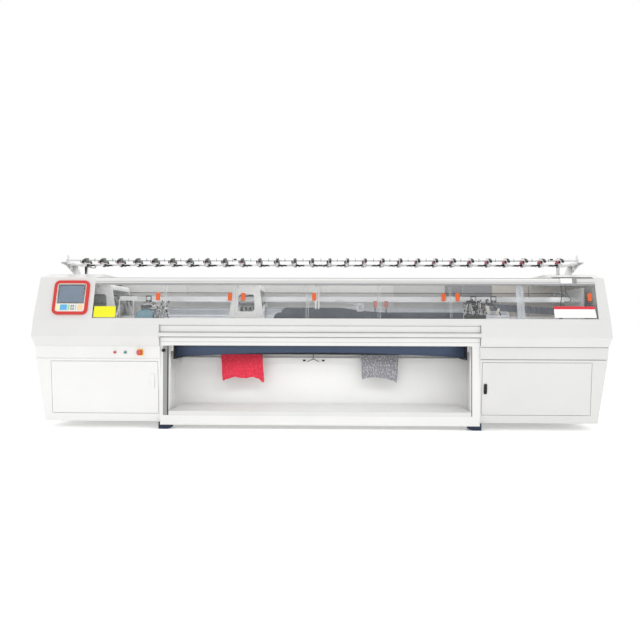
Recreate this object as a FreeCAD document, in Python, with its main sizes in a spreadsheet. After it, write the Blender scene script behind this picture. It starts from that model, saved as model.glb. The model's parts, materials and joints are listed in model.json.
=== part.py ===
import FreeCAD, Part
import math
import os
import re

import Sketcher

Vector = FreeCAD.Vector
Rotation = FreeCAD.Rotation

# Flat knitting machine. +X is the operator's right, -Y the operator's side, +Z up.
# The origin is on the floor, under the middle of the machine. All sizes are in millimetres.

sizes = {
    # leg frames, rails and feet
    "leg_inner": 1290,
    "leg_width": 72,
    "leg_reach": 385,
    "leg_tube": 65,
    "frame_foot": 36,
    "frame_top": 726,
    "mid_post": 44,
    "rail_height": 114,
    "rail_depth": 40,
    "rail_wall": 4,
    "rear_rail_level": 542,
    "rear_rail_height": 46,
    "rear_rail_depth": 50,
    "foot_toe": 24,
    "foot_heel": 14,
    "foot_tip": 12,
    "foot_toe_height": 30,
    "foot_undercut": 36,
    "foot_block_top": 58,
    "foot_bolt_radius": 10,
    # fabric space
    "panel_depth": 116,
    "panel_sheet": 3,
    "panel_lap": 30,
    "tray_sheet": 3,
    "tray_drop": 38,
    "tray_upstand": 20,
    # main beam, needle beds and their rails
    "beam_end_inset": 120,
    "end_plate": 15,
    "end_plate_front": 130,
    "end_plate_top": 1228,
    "beam_front": 190,
    "beam_rear": 250,
    "beam_slot": 40,
    "shelf_left": 400,
    "shelf_margin": 20,
    "shelf_depth": 312,
    "shelf_sheet": 8,
    "bed_crest": 1051,
    "bed_gap": 5,
    "bed_run": 150,
    "bed_plumb": 42,
    "bed_left_inset": 950,
    "bed_right_inset": 750,
    "rack_gap": 0.3,
    "guide_gap": 9,
    "guide_width": 24,
    "guide_height": 30,
    "guide_end_gap": 10,
    # carriages
    "parked_inset": 496,
    "carriage_pitch": 1308,
    "head_half": 150,
    "head_lift": 5,
    "head_inset": 9,
    "head_plumb": 80,
    "head_depth": 215,
    "slide_gap": 0.5,
    "bridge_foot_half": 169,
    "bridge_waist_half": 140,
    "bridge_waist_level": 1046,
    "bridge_top_half": 111,
    "bridge_top": 1250,
    "bridge_roof": 49,
    "bridge_wall": 30,
    "bridge_corner": 38,
    "bridge_window_half": 72,
    "bridge_window_low": 1009,
    "bridge_window_high": 1159,
    "bridge_window_corner": 28,
    "clamp_half": 60,
    "clamp_height": 32,
    # yarn feeders and their rails
    "feeder_rails": 4,
    "feeder_rail_pitch": 40,
    "feeder_rail_thick": 10,
    "feeder_rail_height": 45,
    "feeder_rail_level": 1102,
    "feeders_each": 4,
    "feeder_half": 25,
    "feeder_plate": 6.5,
    "feeder_rise": 9,
    "feeder_drop": 7,
    "feeder_arm_gap": 1,
    "feeder_tip_lift": 6,
    "feeder_tip_width": 4,
    "left_feeder_inset": 710,
    "right_feeder_inset": 1070,
    "feeder_pitch": 90,
    # belt drive
    "pulley_inset": 58,
    "pulley_level": 1156,
    "pulley_radius": 40,
    "pulley_shaft": 8,
    "belt_front": 252,
    "belt_width": 24,
    "belt_thick": 5,
    "loop_gap": 0.3,
    "bracket_inset": 115,
    "bracket_sheet": 8,
    "bracket_half_height": 60,
    "motor_half": 50,
    "motor_corner": 12,
    "motor_length": 114,
    "bore_gap": 0.05,
    # cable chain
    "chain_depth": 46,
    "chain_front": 310,
    "chain_height": 58,
    "chain_gap": 5,
    "chain_bend_place": -340,
    "chain_ramp_start": 1300,
    "chain_ramp_end": 1440,
    "chain_ramp_rise": 82,
    "chain_end_inset": 260,
    "chain_end_drop": 43,
    "chain_foot": 20,
    "chain_link": 50,
    "chain_groove": 4,
    "chain_groove_depth": 6,
    # window tracks and panes
    "window_left_inset": 510,
    "window_right_inset": 105,
    "pane_count": 7,
    "pane_thick": 5,
    "pane_lap": 24,
    "pane_setback": 6,
    "pane_play": 2.4,
    "track_pitch": 20,
    "sill_bottom": 892,
    "sill_top": 947,
    "sill_back": 366,
    "groove_depth": 12,
    "head_bottom": 1236,
    "head_back": 286,
    "head_lip": 22,
    "head_lip_step": 5,
    "head_groove": 14,
    "pane_entry": 8,
    "pane_foot_gap": 0.3,
    "handle_width": 34,
    "handle_height": 68,
    "handle_thick": 12,
    "handle_inset": 58,
    "handle_level": 1099,
    "handle_corner": 8,
    # end covers
    "half_length": 2450,
    "half_depth": 450,
    "belly_level": 791,
    "hem_level": 711,
    "hem_depth": 415,
    "hem_inset": 13,
    "sill_level": 942,
    "sill_depth": 430,
    "brow_level": 1298,
    "brow_depth": 335,
    "brow_inset": 27,
    "ridge_depth": 150,
    "roof_level": 1343,
    "right_cover_reach": 460,
    "cover_wall": 4,
    "front_opening_back": 272,
    "rod_flange_back": 40,
    # front and rear covers
    "fascia_depth": 412,
    "fascia_foot": 405,
    "fascia_floor": 715,
    "fascia_lip": 22,
    "rear_wall_front": 300,
    "rear_foot_lap": 10,
    # cabinets, doors and locks
    "cabinet_rear": 430,
    "cabinet_wall": 4,
    "cabinet_front_wall": 26,
    "cabinet_floor": 60,
    "cabinet_foot_depth": 350,
    "cabinet_depth": 400,
    "cabinet_taper": 64,
    "cabinet_inset": 18,
    "band_depth": 402,
    "band_inset": 10,
    "band_taper": 6,
    "seam_top": 607,
    "seam_width": 8,
    "seam_depth": 6,
    "door_edge": 20,
    "door_margin": 68,
    "door_foot": 70,
    "door_height": 448,
    "door_thick": 18,
    "door_gap": 3,
    "hinge_inset": 6,
    "hinge_radius": 4,
    "hinge_length": 8,
    "lock_thick": 8,
    "spindle_radius": 5,
    "lock_corner": 7,
    "turning_gap": 0.3,
    "tongue_gap": 10,
    "tongue_sheet": 3,
    "tongue_width": 12,
    "tongue_lap": 7,
    "left_lock_inset": 48,
    "left_lock_width": 34,
    "left_lock_height": 125,
    "left_lock_level": 278,
    "right_lock_inset": 28,
    "right_lock_width": 26,
    "right_lock_height": 87,
    "right_lock_level": 224,
    # buttons on the left control band and leg
    "button_level": 654,
    "red_button_inset": 385,
    "green_button_inset": 296,
    "button_radius": 11,
    "button_stand": 10,
    "button_gap": 0.5,
    "stop_inset": 168,
    "stop_stem": 8,
    "stop_radius": 24,
    "stop_cap": 15,
    "stop_travel_gap": 7,
    "stop_plate_half": 27,
    "stop_plate_thick": 8,
    "stop_plate_corner": 10,
    "leg_knob_inset": 41,
    "leg_knob_level": 672,
    "leg_knob_radius": 14,
    "leg_knob_length": 22,
    # operating rod
    "rod_depth": 430,
    "rod_level": 808,
    "rod_radius": 17,
    "rod_cap_radius": 19,
    "rod_cap": 14,
    "rod_journal": 8,
    "rod_end_gap": 0.4,
    # fabric take-down
    "roller_bracket": 15,
    "bracket_front": 232,
    "bracket_back": 60,
    "bracket_foot": 588,
    "bracket_head": 711,
    "nip_depth": 18,
    "nip_level": 666,
    "nip_gap": 0.4,
    "cloth_thick": 2.4,
    "takedown_radius": 42,
    "press_radius": 30,
    "roller_shaft": 12,
    "roller_end_gap": 1,
    "apron_depth": 218,
    "apron_cloth": 2.5,
    "apron_foot": 607,
    "apron_rise": 40,
    # touch panel
    "panel_inset": 315,
    "panel_level": 1120,
    "panel_width": 303,
    "panel_height": 304,
    "panel_ring": 25,
    "panel_corner": 46,
    "panel_stand": 16,
    "panel_face_thick": 11,
    "screen_width": 222,
    "screen_height": 158,
    "screen_rise": 32,
    "screen_thick": 2.5,
    # tension units and their rails
    "tension_rail_radius": 9,
    "upper_rail_rise": 141,
    "lower_rail_rise": 97,
    "unit_count": 28,
    "unit_inset": 290,
    "unit_block_half": 6,
    "unit_block_depth": 40,
    "unit_block_margin": 16,
    "hood_front": 100,
    "hood_back": 90,
    "hood_foot_rise": 120,
    "hood_height": 41,
    "hood_thick": 12,
    "hood_bore_gap": 1,
    "knob_depth": 28,
    "knob_rise": 119,
    "knob_reach": 62,
    "knob_half_height": 12,
    "knob_corner": 11,
    "knob_length": 12,
    "knob_boss_radius": 9,
    "knob_boss": 5,
    "arm_front": 20,
    "arm_thick": 6,
    "arm_rise": 101,
    "arm_height": 12,
    "arm_reach": 92,
    "arm_droop": 8,
    "post_half": 12,
    "post_depth": 12,
    "gusset_inset": 125,
    "gusset_sheet": 10,
    "gusset_front": 142,
    "gusset_knee": 60,
    "gusset_back": 204,
    "gusset_foot_front": 200,
    "gusset_foot_back": 330,
    "gusset_rise": 109,
    "gusset_nose": 14,
    "gusset_flange": 60,
    "gusset_flange_sheet": 4,
    "rail_stop_height": 78,
    # electrical box in the right cabinet
    "box_inset": 138,
    "box_margin": 248,
    "box_half_depth": 200,
    "box_height": 400,
    # fabric sensor under the beam
    "sensor_depth": 55,
    "sensor_place": -65,
    "sensor_fork_level": 581,
    "sensor_wire": 5,
    "sensor_spread": 55,
    "sensor_drop": 32,
    "sensor_head_length": 24,
    "sensor_head_height": 14,
    "sensor_head_depth": 12,
    "sensor_left_head": -148,
    "sensor_right_head": 28,
    "sensor_head_level": 556,
    # knitted samples hanging from the nip
    "red_left": -920,
    "red_right": -519,
    "red_end": 366,
    "red_folds": 5,
    "grey_left": 373,
    "grey_right": 701,
    "grey_end": 371,
    "grey_folds": 4,
    "sample_top_drop": 10,
    "sample_entry": 45,
    "fold_start_drop": 50,
    "fold_depth": 9,
    "hem_wave": 26,
}

# Places that follow from the overall length, the legs and the covers' top
places = {
    "beam_end": "half_length - beam_end_inset",
    "guide_end": "beam_end - guide_end_gap",
    "pulley_place": "beam_end - pulley_inset",
    "chain_end": "beam_end - chain_end_inset",
    "shelf_right": "chain_end + chain_foot + shelf_margin",
    "window_left": "half_length - window_left_inset",
    "window_right": "half_length - window_right_inset",
    "right_cover_edge": "half_length - right_cover_reach",
    "hem_half": "half_length - hem_inset",
    "brow_half": "half_length - brow_inset",
    "cabinet_half": "half_length - cabinet_inset",
    "cabinet_foot_half": "cabinet_half - cabinet_taper",
    "band_half": "half_length - band_inset",
    "band_foot_half": "band_half - band_taper",
    "door_hinge": "cabinet_foot_half - door_margin",
    "door_width": "door_hinge - leg_inner - leg_width - door_edge",
    "panel_place": "panel_inset - half_length",
    "gusset_place": "half_length - gusset_inset",
    "tension_rail_end": "gusset_place + gusset_sheet",
    "unit_reach": "half_length - unit_inset",
    "bed_left": "bed_left_inset - half_length",
    "bed_right": "half_length - bed_right_inset",
    "left_carriage": "parked_inset - half_length",
    "right_carriage": "left_carriage + carriage_pitch",
    "left_feeder_place": "left_feeder_inset - half_length",
    "right_feeder_place": "half_length - right_feeder_inset",
    "red_button_place": "-leg_inner - leg_width - red_button_inset",
    "green_button_place": "-leg_inner - leg_width - green_button_inset",
    "stop_place": "-leg_inner - leg_width - stop_inset",
    "leg_knob_place": "-leg_inner - leg_knob_inset",
    "box_left": "leg_inner + leg_width + box_inset",
    "box_right": "cabinet_foot_half - box_margin",
    "upper_rail_level": "roof_level + upper_rail_rise",
    "lower_rail_level": "roof_level + lower_rail_rise",
    "hood_foot": "roof_level + hood_foot_rise",
    "knob_level": "roof_level + knob_rise",
    "arm_level": "roof_level + arm_rise",
    "gusset_top": "roof_level + gusset_rise",
}

doc = FreeCAD.newDocument("flat_knitting_machine")
sheet = doc.addObject("Spreadsheet::Sheet", "Sizes")
for row, (size_name, size) in enumerate(sizes.items(), start=1):
    sheet.set(f"A{row}", size_name)
    sheet.set(f"B{row}", str(size))
    sheet.setAlias(f"B{row}", size_name)
doc.recompute()

nodes = []


# An expression is written with the plain names of the sheet's cells and of the places above.
def linked(expression):
    def cell(match):
        word = match.group(0)
        if word in places:
            return f"({linked(places[word])})"
        return f"Sizes.{word}" if word in sizes else word

    return re.sub(r"[a-z_]+[a-z0-9_]*", cell, str(expression))


def bind(item, target, expression):
    item.setExpression(target, linked(expression))


def minus(expression):
    return f"-({expression})"


def plus(*terms):
    return " + ".join(f"({term})" for term in terms)


# The span low..high on one side of the machine: side is 1 on the right, -1 on the left.
def span(side, low, high):
    return (low, high) if side > 0 else (minus(high), minus(low))


def label(item, name):
    item.Label = name
    return item


def box(name, across, deep, tall):
    item = doc.addObject("Part::Box", name)
    for side, axis, (low, high) in zip(("Length", "Width", "Height"), "xyz", (across, deep, tall)):
        bind(item, side, f"({high}) - ({low})")
        bind(item, f"Placement.Base.{axis}", low)
    return label(item, name)


# The turn that lays a cylinder's length along each axis, and the axes its centre is given in.
cylinder_turns = {
    "x": (Rotation(Vector(0, 1, 0), 90), "yz"),
    "y": (Rotation(Vector(1, 0, 0), -90), "xz"),
    "z": (Rotation(), "xy"),
}


def cylinder(name, axis, centre, radius, low, high):
    item = doc.addObject("Part::Cylinder", name)
    turn, centre_axes = cylinder_turns[axis]
    item.Placement = FreeCAD.Placement(Vector(), turn)
    bind(item, "Radius", radius)
    bind(item, "Height", f"({high}) - ({low})")
    bind(item, f"Placement.Base.{axis}", low)
    for centre_axis, place in zip(centre_axes, centre):
        bind(item, f"Placement.Base.{centre_axis}", place)
    return label(item, name)


def joined(kind, name, items):
    item = doc.addObject(kind, name)
    item.Shapes = items
    return label(item, name)


def fuse(name, items):
    return joined("Part::MultiFuse", name, items)


def common(name, items):
    return joined("Part::MultiCommon", name, items)


def cut(name, base, tools):
    tool = tools[0]
    if len(tools) > 1:
        tool = fuse(f"{name}_tools", tools)
    item = doc.addObject("Part::Cut", name)
    item.Base = base
    item.Tool = tool
    return label(item, name)


def group(name, items):
    item = doc.addObject("Part::Compound", name)
    item.Links = items
    return label(item, name)


def node(item):
    nodes.append(item)
    return item


# Which world axes an outline's two directions follow, for each plane it can lie in.
plane_axes = {"YZ": ("y", "z"), "XZ": ("x", "z"), "XY": ("x", "y")}

# An outline's corners start on this circle, and its sizes then draw them into place.
guess_radius = 500
# Two points nearer than this are one corner.
same_point = 0.0001


# A straight-sided outline in one of the body's own planes, padded from low to high.
# rounds gives the radius at a corner, by the corner's place in the list.
def prism(name, plane, corners, low, high, rounds=None):
    body = doc.addObject("PartDesign::Body", name)
    outline = body.newObject("Sketcher::SketchObject", f"{name}_outline")
    origin_plane = [part for part in body.Origin.OriginFeatures if part.Role == f"{plane}_Plane"][0]
    outline.AttachmentSupport = [(origin_plane, "")]
    outline.MapMode = "FlatFace"
    bind(outline, "AttachmentOffset.Base.z", minus(high) if plane == "XZ" else low)
    count = len(corners)
    turn = 2 * math.pi / count
    guess = [
        Vector(guess_radius * math.cos(turn * i), guess_radius * math.sin(turn * i), 0) for i in range(count)
    ]
    for i in range(count):
        outline.addGeometry(Part.LineSegment(guess[i], guess[(i + 1) % count]), False)
    for i in range(count):
        outline.addConstraint(Sketcher.Constraint("Coincident", i, 2, (i + 1) % count, 1))
    for i, corner in enumerate(corners):
        for kind, place, first in zip(("DistanceX", "DistanceY"), corner, (guess[i].x, guess[i].y)):
            index = outline.addConstraint(Sketcher.Constraint(kind, -1, 1, i, 1, first))
            bind(outline, f"Constraints[{index}]", place)
    pad = body.newObject("PartDesign::Pad", f"{name}_pad")
    pad.Profile = outline
    bind(pad, "Length", f"({high}) - ({low})")
    if rounds:
        doc.recompute()
        round_corners(body, outline, pad, plane_axes[plane], rounds)
    return label(body, name)


def round_corners(body, outline, pad, axes, rounds):
    base = pad
    for step, (corner, radius) in enumerate(rounds.items()):
        point = outline.Geometry[corner].StartPoint
        names = []
        for number, edge in enumerate(base.Shape.Edges, start=1):
            ends = [vertex.Point for vertex in edge.Vertexes]
            near = [
                abs(getattr(end, axes[0]) - point.x) + abs(getattr(end, axes[1]) - point.y) < same_point
                for end in ends
            ]
            if len(ends) == 2 and all(near):
                names.append(f"Edge{number}")
        fillet = body.newObject("PartDesign::Fillet", f"{body.Name}_round_{step + 1}")
        fillet.Base = (base, names)
        bind(fillet, "Radius", radius)
        doc.recompute()
        base = fillet


def rectangle(across, up):
    return [(across[0], up[0]), (across[1], up[0]), (across[1], up[1]), (across[0], up[1])]


# Turns a piece that was drawn upright about X, then moves it to its place.
def tilt(item, angle, place):
    item.Placement = FreeCAD.Placement(Vector(), Rotation(Vector(1, 0, 0), 10))
    bind(item, "Placement.Rotation.Angle", angle)
    for axis, where in zip("xyz", place):
        bind(item, f"Placement.Base.{axis}", where)
    return item


def sided(side, points):
    return [(x if side > 0 else minus(x), z) for x, z in points]


sides = {"left": -1, "right": 1}

# Places that several pieces share
leg_outer = "leg_inner + leg_width"
rail_top = "frame_foot + rail_height"
back_face = "panel_depth - panel_sheet"
front_lean = "(sill_depth - brow_depth) / (brow_level - sill_level)"
bed_step = "bed_crest - bed_run - bed_plumb / 2"
bed_heel = "bed_gap + bed_run - bed_plumb / 2"
bed_slot_level = "bed_crest - bed_plumb - (beam_slot - bed_gap)"
guide_inner = "bed_gap + bed_run + guide_gap"
guide_outer = f"{guide_inner} + guide_width"
guide_top = f"{bed_step} + guide_height"
bridge_front = "head_depth + bridge_wall"
unit_pitch = "2 * unit_reach / (unit_count - 1)"
pane_pitch = "(window_left + window_right) / pane_count"


# Y of the sloped front at a level, and a distance behind it
def sloped_front(level, behind=0):
    return f"-sill_depth + (({level}) - sill_level) * ({front_lean}) + ({behind})"


def leg_frames():
    frames = []
    for side_name, side in sides.items():
        across = span(side, "leg_inner", leg_outer)
        upright = ("frame_foot + leg_tube", "frame_top - leg_tube")
        reach = ("-leg_reach", "leg_reach")
        frame = box(f"{side_name}_leg_plate", across, reach, ("frame_foot", "frame_top"))
        front_window = box(
            f"{side_name}_leg_front_window", across, ("-leg_reach + leg_tube", "panel_depth"), upright
        )
        behind_post = ("panel_depth + mid_post", "leg_reach - leg_tube")
        rear_window = box(f"{side_name}_leg_rear_window", across, behind_post, upright)
        frames.append(cut(f"{side_name}_leg_frame", frame, [front_window, rear_window]))
    return node(group("leg_frames", frames))


def square_tube(name, across, deep, tall):
    outer = box(f"{name}_outside", across, deep, tall)
    inner = box(
        f"{name}_inside",
        across,
        (plus(deep[0], "rail_wall"), plus(deep[1], "-rail_wall")),
        (plus(tall[0], "rail_wall"), plus(tall[1], "-rail_wall")),
    )
    return cut(name, outer, [inner])


def cross_rails():
    across = ("-leg_inner", "leg_inner")
    low = ("frame_foot", rail_top)
    high = ("rear_rail_level", "rear_rail_level + rear_rail_height")
    rails = [
        square_tube("front_rail", across, ("-leg_reach", "-leg_reach + rail_depth"), low),
        square_tube("rear_rail", across, ("leg_reach - rail_depth", "leg_reach"), low),
        square_tube("upper_rear_rail", across, (plus(back_face, "-rear_rail_depth"), back_face), high),
    ]
    return node(group("cross_rails", rails))


def levelling_feet():
    feet = []
    toe = "leg_inner - foot_toe"
    bolt_edge = "leg_inner + leg_width / 2 + foot_bolt_radius"
    wedge = [
        (f"{leg_outer} + foot_heel", "0"),
        (plus(toe, "foot_undercut"), "0"),
        (toe, "foot_tip"),
        (toe, "foot_toe_height"),
        (bolt_edge, "foot_toe_height"),
        (bolt_edge, "frame_foot"),
        (leg_outer, "frame_foot"),
        (leg_outer, "foot_block_top"),
        (f"{leg_outer} + foot_heel", "foot_block_top"),
    ]
    ends = {"front": ("-leg_reach", "-leg_reach + leg_tube"), "rear": ("leg_reach - leg_tube", "leg_reach")}
    for side_name, side in sides.items():
        for end_name, deep in ends.items():
            name = f"{end_name}_{side_name}_foot"
            base = prism(f"{name}_wedge", "XZ", sided(side, wedge), *deep)
            centre = ("leg_inner + leg_width / 3", f"(({deep[0]}) + ({deep[1]})) / 2")
            bolt = cylinder(
                f"{name}_bolt",
                "z",
                (centre[0] if side > 0 else minus(centre[0]), centre[1]),
                "foot_bolt_radius",
                "foot_tip",
                "frame_foot",
            )
            feet.append(fuse(name, [base, bolt]))
    return node(group("levelling_feet", feet))


# The beam has a V-shaped back, slotted along its middle so that the fabric can drop through.
def main_beam():
    across = ("-beam_end", "beam_end")
    front = prism(
        "beam_front_half",
        "YZ",
        [
            ("-beam_front", "frame_top"),
            ("-beam_slot", "frame_top"),
            ("-beam_slot", bed_slot_level),
            (minus(bed_heel), bed_step),
            ("-beam_front", bed_step),
        ],
        *across,
    )
    rear = prism(
        "beam_rear_half",
        "YZ",
        [
            ("beam_slot", "frame_top"),
            ("beam_rear", "frame_top"),
            ("beam_rear", bed_step),
            (bed_heel, bed_step),
            ("beam_slot", bed_slot_level),
        ],
        *across,
    )
    shelf = box(
        "beam_shelf",
        ("-shelf_left", "shelf_right"),
        ("-shelf_depth", "-beam_front"),
        (f"{bed_step} - shelf_sheet", bed_step),
    )
    pieces = [front, rear, shelf]
    bores = []
    bracket_front = "belt_front + belt_width + 2 * slide_gap"
    bracket_deep = (bracket_front, plus(bracket_front, "bracket_sheet"))
    for side_name, side in sides.items():
        pieces.append(
            box(
                f"{side_name}_end_plate",
                span(side, "beam_end", "beam_end + end_plate"),
                ("-end_plate_front", bracket_deep[1]),
                ("frame_top", "end_plate_top"),
            )
        )
        pieces.append(
            box(
                f"{side_name}_pulley_bracket",
                span(side, "beam_end - bracket_inset", "beam_end"),
                bracket_deep,
                ("pulley_level - bracket_half_height", "pulley_level + bracket_half_height"),
            )
        )
        bores.append(
            cylinder(
                f"{side_name}_pulley_bore",
                "y",
                ("pulley_place" if side > 0 else "-pulley_place", "pulley_level"),
                "pulley_shaft + bore_gap",
                *bracket_deep,
            )
        )
    return node(cut("main_beam", fuse("beam_weldment", pieces), bores))


# A bed is a thick plate at 45 degrees; side is -1 for the front bed and 1 for the rear one.
def needle_bed(name, side, lift):
    deep = "-" if side < 0 else ""
    outline = [
        (f"{deep}bed_gap", f"bed_crest + {lift}"),
        (f"{deep}(bed_gap + bed_run)", f"bed_crest - bed_run + {lift}"),
        (f"{deep}({bed_heel})", f"{bed_step} + {lift}"),
        (f"{deep}bed_gap", f"bed_crest - bed_plumb + {lift}"),
    ]
    return node(prism(name, "YZ", outline, "bed_left", "bed_right"))


def carriage_rails():
    across = ("-guide_end", "guide_end")
    rails = []
    for name, side in {"front": -1, "rear": 1}.items():
        deep = span(side, guide_inner, guide_outer)
        rails.append(box(f"{name}_guide", across, deep, (bed_step, guide_top)))
    return node(group("carriage_rails", rails))


def feeder_rails():
    rails = []
    for i in range(sizes["feeder_rails"]):
        middle = f"({i} - (feeder_rails - 1) / 2) * feeder_rail_pitch"
        deep = (f"{middle} - feeder_rail_thick / 2", f"{middle} + feeder_rail_thick / 2")
        tall = ("feeder_rail_level", "feeder_rail_level + feeder_rail_height")
        rails.append(box(f"feeder_rail_{i + 1}", ("-beam_end", "beam_end"), deep, tall))
    return node(group("feeder_rails", rails))


carriages = {"right": "right_carriage", "left": "left_carriage"}


def carriage_heads():
    bed_line = "bed_crest + bed_gap + head_lift"
    base = f"{guide_top} + slide_gap"
    inner = "bed_gap + head_inset"
    outline = [
        (inner, f"{bed_line} - ({inner})"),
        (f"{bed_line} - ({base})", base),
        ("head_depth", base),
        ("head_depth", f"{bed_line} + head_plumb - head_depth"),
        (f"{inner} + head_plumb / 2", f"{bed_line} - ({inner}) + head_plumb / 2"),
    ]
    heads = []
    for name, middle in carriages.items():
        for end_name, side in {"front": -1, "rear": 1}.items():
            across = (f"{middle} - head_half", f"{middle} + head_half")
            heads.append(prism(f"{name}_{end_name}_head", "YZ", sided(side, outline), *across))
    return node(group("carriage_heads", heads))


def carriage_bridges():
    base = f"{guide_top} + slide_gap"
    bridges = []
    for name, middle in carriages.items():
        half_outline = [
            ("bridge_foot_half", base),
            ("bridge_waist_half", "bridge_waist_level"),
            ("bridge_top_half", "bridge_top"),
        ]
        right = [(f"{middle} + {x}", z) for x, z in half_outline]
        left = [(f"{middle} - {x}", z) for x, z in reversed(half_outline)]
        arch = prism(
            f"{name}_arch",
            "XZ",
            right + left,
            minus(bridge_front),
            bridge_front,
            {2: "bridge_corner", 3: "bridge_corner"},
        )
        wide = (f"{middle} - bridge_foot_half", f"{middle} + bridge_foot_half")
        tunnel_tall = (base, "bridge_top - bridge_roof")
        tunnel = box(f"{name}_tunnel", wide, ("-head_depth", "head_depth"), tunnel_tall)
        window = prism(
            f"{name}_arch_window",
            "XZ",
            rectangle(
                (f"{middle} - bridge_window_half", f"{middle} + bridge_window_half"),
                ("bridge_window_low", "bridge_window_high"),
            ),
            minus(bridge_front),
            "-head_depth",
            {corner: "bridge_window_corner" for corner in range(4)},
        )
        frame = cut(f"{name}_bridge_frame", arch, [tunnel, window])
        belt_run = "pulley_level + pulley_radius"
        clamp = box(
            f"{name}_belt_clamp",
            (f"{middle} - clamp_half", f"{middle} + clamp_half"),
            (bridge_front, "belt_front - slide_gap"),
            (f"{belt_run} - clamp_height", belt_run),
        )
        bridges.append(fuse(f"{name}_bridge", [frame, clamp]))
    return node(group("carriage_bridges", bridges))


# A feeder hangs on the outer face of a rail, and its arm reaches in under the rails to the needles.
def feeder_set(name, first):
    rail_face = "(feeder_rails - 1) / 2 * feeder_rail_pitch + feeder_rail_thick / 2 + slide_gap"
    outer = f"{rail_face} + feeder_plate"
    low = "feeder_rail_level - feeder_drop"
    arm_top = "feeder_rail_level - feeder_arm_gap"
    tip = "bed_crest + feeder_tip_lift"
    outline = [
        (outer, "feeder_rail_level + feeder_rail_height + feeder_rise"),
        (rail_face, "feeder_rail_level + feeder_rail_height + feeder_rise"),
        (rail_face, arm_top),
        ("feeder_rail_pitch", arm_top),
        ("feeder_arm_gap", f"{tip} + 2 * feeder_tip_width"),
        ("feeder_arm_gap", tip),
        ("feeder_arm_gap + feeder_tip_width", tip),
        ("feeder_rail_pitch", low),
        (outer, low),
    ]
    feeders = []
    for i in range(sizes["feeders_each"]):
        side = -1 if i % 2 == 0 else 1
        middle = f"{first} + {i} * feeder_pitch"
        across = (f"{middle} - feeder_half", f"{middle} + feeder_half")
        feeders.append(prism(f"{name}_{i + 1}", "YZ", sided(side, outline), *across))
    return node(group(name, feeders))


def belt_drive():
    deep = ("belt_front", "belt_front + belt_width")
    loops = []
    for name, radius in {
        "belt_outside": "pulley_radius + loop_gap + belt_thick",
        "belt_inside": "pulley_radius + loop_gap",
    }.items():
        run = box(
            f"{name}_runs",
            ("-pulley_place", "pulley_place"),
            deep,
            (f"pulley_level - ({radius})", f"pulley_level + ({radius})"),
        )
        turns = [
            cylinder(f"{name}_{side_name}_turn", "y", (place, "pulley_level"), radius, *deep)
            for side_name, place in {"left": "-pulley_place", "right": "pulley_place"}.items()
        ]
        loops.append(fuse(name, [run] + turns))
    node(cut("drive_belt", loops[0], [loops[1]]))
    bracket_back = "belt_front + belt_width + 2 * slide_gap + bracket_sheet"
    for name, place in {"idler_pulley": "-pulley_place", "drive_pulley": "pulley_place"}.items():
        wheel = cylinder(f"{name}_wheel", "y", (place, "pulley_level"), "pulley_radius", *deep)
        shaft_end = plus(bracket_back, "-slide_gap")
        shaft = cylinder(
            f"{name}_shaft", "y", (place, "pulley_level"), "pulley_shaft", deep[1], shaft_end
        )
        node(fuse(name, [wheel, shaft]))
    motor = prism(
        "drive_motor",
        "XZ",
        rectangle(
            ("pulley_place - motor_half", "pulley_place + motor_half"),
            ("pulley_level - motor_half", "pulley_level + motor_half"),
        ),
        bracket_back,
        plus(bracket_back, "motor_length"),
        {corner: "motor_corner" for corner in range(4)},
    )
    node(motor)


# The chain folds back over itself at its left end, then climbs and runs down to its right anchor.
def cable_chain():
    deep = ("-chain_front", "-chain_front + chain_depth")
    lower_top = f"{bed_step} + chain_height"
    bend_radius = "(2 * chain_height + chain_gap) / 2"
    upper = f"{lower_top} + chain_gap"
    upper_top = f"{upper} + chain_height"
    bend_level = f"{bed_step} + {bend_radius}"
    lower_run = box(
        "chain_lower_run", ("chain_bend_place", "chain_ramp_start"), deep, (bed_step, lower_top)
    )
    crest = f"{upper} + chain_ramp_rise"
    end_top = f"{crest} + chain_height - chain_end_drop"
    upper_run = prism(
        "chain_upper_run",
        "XZ",
        [
            ("chain_bend_place", upper),
            ("chain_ramp_start", upper),
            ("chain_ramp_end", crest),
            ("chain_end", f"{crest} - chain_end_drop"),
            ("chain_end", bed_step),
            ("chain_end + chain_foot", bed_step),
            ("chain_end + chain_foot", end_top),
            ("chain_end", end_top),
            ("chain_ramp_end", f"{crest} + chain_height"),
            ("chain_ramp_start", upper_top),
            ("chain_bend_place", upper_top),
        ],
        *deep,
    )
    bend = cylinder("chain_bend", "y", ("chain_bend_place", bend_level), bend_radius, *deep)
    bend_eye = cylinder("chain_bend_eye", "y", ("chain_bend_place", bend_level), "chain_gap / 2", *deep)
    grooves = []
    insets = sizes["beam_end_inset"] + sizes["chain_end_inset"]
    length = sizes["half_length"] - insets - sizes["chain_bend_place"]
    for i in range(int(length // sizes["chain_link"])):
        place = f"chain_bend_place + {i} * chain_link"
        grooves.append(
            box(
                f"chain_groove_{i + 1}",
                (place, f"{place} + chain_groove"),
                (deep[0], f"{deep[0]} + chain_groove_depth"),
                (bed_step, f"{crest} + chain_height"),
            )
        )
    run = fuse("chain_runs", [lower_run, upper_run, bend])
    return node(cut("cable_chain", run, [bend_eye] + grooves))


def pane_front(track, level, behind=0):
    return sloped_front(level, f"pane_setback + {track} * track_pitch + ({behind})")


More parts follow.
